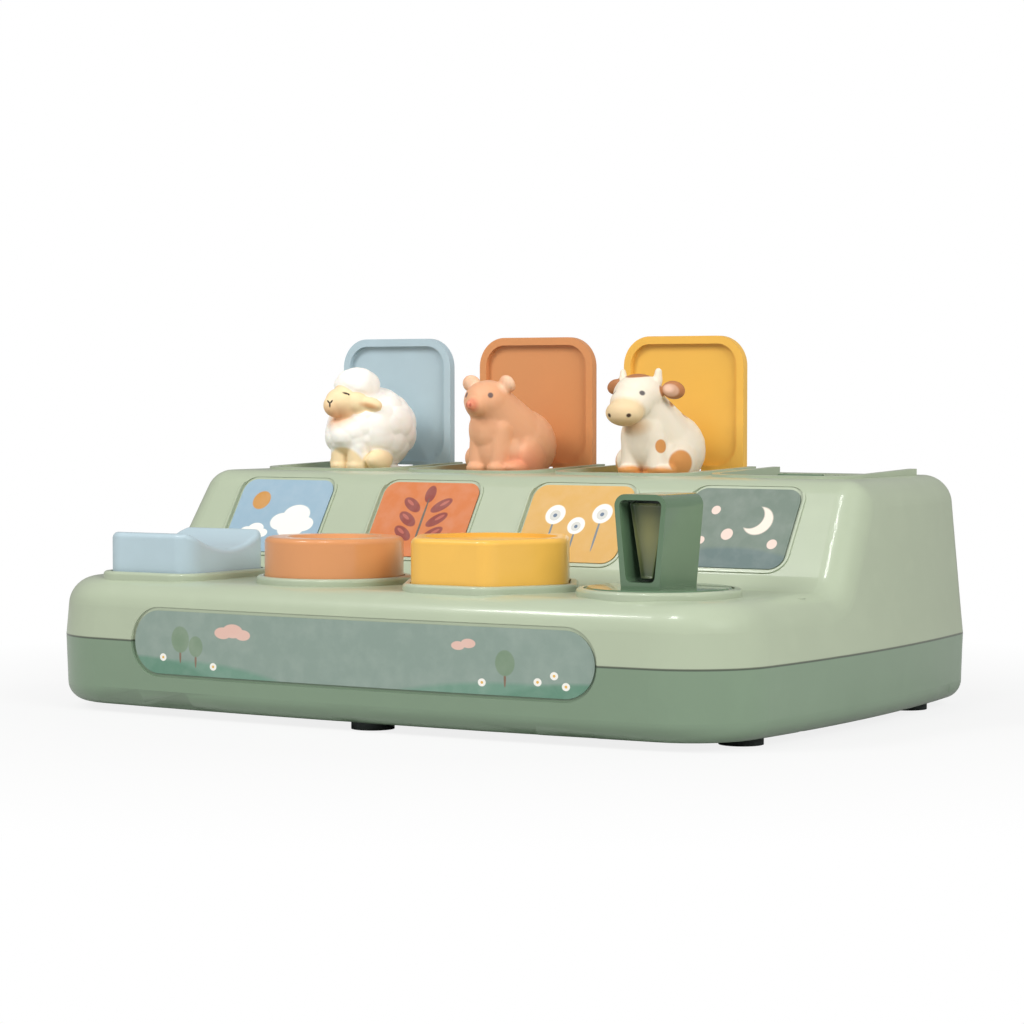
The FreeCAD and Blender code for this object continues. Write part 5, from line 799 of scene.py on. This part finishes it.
class Print(Finish):
    """A printed label; places in millimetres in the label's own plane."""

    def __init__(self, name, ground, node, tilt):
        super().__init__(name, ground, 0.42)
        low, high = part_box(node)
        self.own = self.placed(tuple((low + high) / 2), (math.radians(tilt), 0.0, 0.0),
                               (MM, MM, MM))

    def oval(self, tint, x, y, wide, high, turn=0.0, edge=0.05):
        """An oval, wide and high by its half widths."""
        return self.spot(tint, (x, y, 0.0), (wide, high, 1000.0),
                         (0.0, 0.0, math.radians(turn)), edge, self.own)

    def mottle_print(self):
        """Slight unevenness of the ink."""
        return self.layer(self.ramp(self.noise(160.0, 4.0), 0.4, 0.8, 0.0, 0.07),
                          (0.9, 0.9, 0.85))


class TOY_OT_labels(bpy.types.Operator):
    """Printed labels of the sloping face and the front"""
    bl_idname = "toy.labels"
    bl_label = "Labels"

    def execute(self, context):
        white = linear(240, 238, 230)
        # Clouds and a sun
        sky = Print("label_sky_print", linear(146, 173, 190), "panel_label_1", LABEL_SLOPE)
        sky.oval(linear(196, 140, 70), -12, 7.5, 4.6, 4.6)
        for x, y, r in ((3, -3, 6), (9.5, 0.5, 7), (15, -4, 5), (9, -6, 7)):
            sky.oval(white, x, y, r, r * 0.72)
        for x, y, r in ((-14, -8.5, 3.6), (-9.5, -7, 4.2), (-5.5, -9, 3)):
            sky.oval(white, x, y, r, r * 0.7)
        # A sprig of leaves
        sprig = Print("label_sprig_print", linear(203, 117, 62), "panel_label_2", LABEL_SLOPE)
        leaf, vein = linear(138, 62, 52), linear(96, 92, 80)
        for side in (-1, 1):
            for k in range(3):
                sprig.oval(leaf, side * 7.4, -7 + k * 7.0, 5.4, 2.5, side * 34)
                sprig.oval(linear(178, 96, 80), side * 8.6, -5.9 + k * 7.0, 2.4, 0.7, side * 34)
        sprig.oval(leaf, 0, 12.4, 2.6, 4.2)
        sprig.oval(vein, 0, -2, 0.55, 12.5)
        # Seed heads
        seeds = Print("label_seed_print", linear(210, 165, 88), "panel_label_3", LABEL_SLOPE)
        for x, y, r in ((-10.5, 4, 4.6), (1.0, -1, 4.0), (11.5, 5, 4.6)):
            seeds.oval(linear(110, 124, 132), x, y - 9.5, 0.5, 8.5)
            seeds.oval(white, x, y, r, r)
            seeds.oval(linear(206, 206, 200), x, y - 0.4, r * 0.55, r * 0.55)
            seeds.oval(linear(96, 116, 138), x, y - 0.4, r * 0.2, r * 0.2)
        # Moon over hills
        night = Print("label_moon_print", linear(108, 124, 112), "panel_label_4", LABEL_SLOPE)
        night.oval(linear(92, 112, 110), 0, -26, 40, 17)
        night.oval(linear(238, 222, 208), 8, 3.5, 6.4, 6.4)
        night.oval(linear(108, 124, 112), 4.6, 5.4, 5.6, 5.6)
        for x, y, r in ((-12, 8, 2.0), (-4, -3, 2.6), (-15, -6, 1.8), (17, -7, 2.2)):
            night.oval(linear(228, 204, 192), x, y, r, r)
        for k, art in enumerate((sky, sprig, seeds, night), start=1):
            dress(art.mottle_print().grain(PRINT_GRAIN, 1500.0, 0.04).done(), f"panel_label_{k}")
        # Meadow on the front
        meadow = Print("label_meadow_print", linear(135, 153, 143), "front_label", 90.0)
        far, near = linear(112, 148, 130), linear(98, 138, 118)
        meadow.oval(far, -82, -24, 62, 17)
        meadow.oval(far, 74, -25, 70, 17)
        meadow.oval(near, -106, -20, 42, 14)
        meadow.oval(near, 104, -22, 44, 15)
        trunk, crown = linear(128, 104, 86), linear(120, 142, 118)
        pink = linear(222, 184, 170)
        for x, y, r in ((-84, 1.5, 4.6), (-76, -1, 3.6), (70, -0.5, 4.2)):
            meadow.oval(trunk, x, y - r - 1.5, 0.5, 3.4)
            meadow.oval(crown, x, y, r, r * 1.15)
        for x, y, r in ((-62, 5, 4.2), (-57, 6, 5), (-52, 4.6, 3.8), (54, 6.2, 3.2),
                        (49.5, 5.2, 3.0)):
            meadow.oval(pink, x, y, r, r * 0.55)
        for x, y in ((-93, -6), (-67, -8.6), (60, -8.2), (84, -7.0), (91, -4.4), (96, -8.2)):
            meadow.oval(white, x, y, 1.7, 1.5)
            meadow.oval(linear(226, 178, 90), x, y, 0.6, 0.55)
        dress(meadow.mottle_print().grain(PRINT_GRAIN, 1500.0, 0.04).done(), "front_label")
        return {"FINISHED"}


def aim(thing, place, target):
    """Puts a lamp or the camera in its place and turns it to its target."""
    thing.location = place
    thing.rotation_euler = (Vector(target) - Vector(place)).to_track_quat("-Z", "Y").to_euler()


def soft_lamp(name, place, size, power):
    """A square soft lamp that looks at the toy."""
    lamp = bpy.data.lights.new(name, "AREA")
    lamp.shape = "SQUARE"
    lamp.size = size
    lamp.energy = power
    made = bpy.data.objects.new(name, lamp)
    bpy.context.scene.collection.objects.link(made)
    aim(made, place, LAMP_TARGET)
    return made


def seen_white(tree, lit, white):
    """White to the lens and through glass, lit by the lamps for everything else."""
    path = tree.nodes.new("ShaderNodeLightPath")
    either = tree.nodes.new("ShaderNodeMath")
    either.operation = "MAXIMUM"
    tree.links.new(path.outputs["Is Camera Ray"], either.inputs[0])
    tree.links.new(path.outputs["Is Transmission Ray"], either.inputs[1])
    mix = tree.nodes.new("ShaderNodeMixShader")
    tree.links.new(either.outputs[0], mix.inputs[0])
    tree.links.new(lit, mix.inputs[1])
    tree.links.new(white, mix.inputs[2])
    return mix.outputs[0]


class TOY_OT_studio(bpy.types.Operator):
    """Floor, backdrop, lamps and camera"""
    bl_idname = "toy.studio"
    bl_label = "Studio"

    def execute(self, context):
        scene, studio = context.scene, context.scene.toy_studio
        # Camera
        turn, dip = studio.camera_turn, studio.camera_dip
        lens = bpy.data.cameras.new("camera")
        lens.lens, lens.sensor_width = studio.lens, SENSOR
        camera = bpy.data.objects.new("camera", lens)
        scene.collection.objects.link(camera)
        place = Vector(studio.camera_place)
        ahead = Vector((-math.sin(turn) * math.cos(dip), math.cos(turn) * math.cos(dip),
                        -math.sin(dip)))
        aim(camera, place, place + ahead)
        scene.camera = camera
        # Floor
        bm = bmesh.new()
        bmesh.ops.create_grid(bm, x_segments=1, y_segments=1, size=4.0)
        floor = new_object("floor", bm)
        material = bpy.data.materials.new("floor_card")
        material.use_nodes = True
        tree = material.node_tree
        card = tree.nodes["Principled BSDF"]
        card.inputs["Base Color"].default_value = (0.6, 0.6, 0.59, 1.0)
        card.inputs["Roughness"].default_value = 0.9
        card.inputs["Specular IOR Level"].default_value = 0.1
        glow = tree.nodes.new("ShaderNodeEmission")
        glow.inputs["Color"].default_value = (1.0, 1.0, 1.0, 1.0)
        both = tree.nodes.new("ShaderNodeMixShader")
        coordinates = tree.nodes.new("ShaderNodeTexCoord").outputs["Object"]
        away = tree.nodes.new("ShaderNodeVectorMath")
        away.operation = "LENGTH"
        tree.links.new(coordinates, away.inputs[0])
        fade = tree.nodes.new("ShaderNodeMapRange")
        for name, number in (("From Min", 0.18), ("From Max", 0.4), ("To Min", 0.84),
                             ("To Max", 1.0)):
            fade.inputs[name].default_value = number
        tree.links.new(away.outputs["Value"], fade.inputs["Value"])
        tree.links.new(fade.outputs["Result"], both.inputs[0])
        tree.links.new(card.outputs[0], both.inputs[1])
        tree.links.new(glow.outputs[0], both.inputs[2])
        output = tree.nodes["Material Output"]
        tree.links.new(seen_white(tree, card.outputs[0], both.outputs[0]),
                       output.inputs["Surface"])
        floor.data.materials.append(material)
        # Light from all round, white where it is seen
        world = bpy.data.worlds.new("studio")
        world.use_nodes = True
        scene.world = world
        tree = world.node_tree
        room = tree.nodes["Background"]
        room.inputs["Color"].default_value = (1.0, 0.995, 0.985, 1.0)
        room.inputs["Strength"].default_value = studio.room_light
        wall = tree.nodes.new("ShaderNodeBackground")
        wall.inputs["Color"].default_value = (1.0, 1.0, 1.0, 1.0)
        output = tree.nodes["World Output"]
        tree.links.new(seen_white(tree, room.outputs[0], wall.outputs[0]),
                       output.inputs["Surface"])
        # Lamps
        for name, way in (("left_glint", (-0.4, -0.5, 0.77)),
                          ("right_glint", (0.05, -0.5, 0.86))):
            soft_lamp(name, LAMP_TARGET + GLINT_DISTANCE * Vector(way), 0.2, studio.glint_power)
        for name, place, size, power in (
                ("side_lamp", (1.5, -0.6, 1.0), 0.9, studio.side_power),
                ("key_lamp", (-0.9, -1.3, 1.3), 0.6, studio.key_power)):
            soft_lamp(name, place, size, power).visible_glossy = False
        scene.view_settings.view_transform = "Standard"
        return {"FINISHED"}


class TOY_PT_panel(bpy.types.Panel):
    """Buttons for the pieces, and their colours and sizes"""
    bl_idname = "TOY_PT_panel"
    bl_label = "Pop up toy"
    bl_space_type = "VIEW_3D"
    bl_region_type = "UI"
    bl_category = "Toy"

    def draw(self, context):
        layout = self.layout
        for operator in OPERATORS:
            layout.operator(operator.bl_idname)
        for group in (context.scene.toy_colours, context.scene.toy_sizes,
                      context.scene.toy_studio):
            box = layout.box()
            for name in group.bl_rna.properties.keys():
                if name not in ("rna_type", "name"):
                    box.prop(group, name)


OPERATORS = (TOY_OT_studio, TOY_OT_housing, TOY_OT_mechanism, TOY_OT_controls, TOY_OT_lids,
             TOY_OT_labels, TOY_OT_sheep, TOY_OT_pig, TOY_OT_cow, TOY_OT_hen)
GROUPS = (("toy_colours", ToyColours), ("toy_sizes", ToySizes), ("toy_studio", ToyStudio))


def register():
    """Adds the settings, the operators and the panel."""
    for name, group in GROUPS:
        bpy.utils.register_class(group)
        setattr(bpy.types.Scene, name, bpy.props.PointerProperty(type=group))
    for operator in OPERATORS:
        bpy.utils.register_class(operator)
    bpy.utils.register_class(TOY_PT_panel)


def unregister():
    """Takes away what register() adds."""
    bpy.utils.unregister_class(TOY_PT_panel)
    for operator in reversed(OPERATORS):
        bpy.utils.unregister_class(operator)
    for name, group in reversed(GROUPS):
        delattr(bpy.types.Scene, name)
        bpy.utils.unregister_class(group)


def main():
    """Builds every piece."""
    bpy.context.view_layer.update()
    register()
    for operator in OPERATORS:
        group, name = operator.bl_idname.split(".")
        result = getattr(getattr(bpy.ops, group), name)()
        if result != {"FINISHED"}:
            raise RuntimeError(f"{operator.bl_idname} did not finish")
    bpy.context.view_layer.update()


if __name__ == "__main__":
    main()
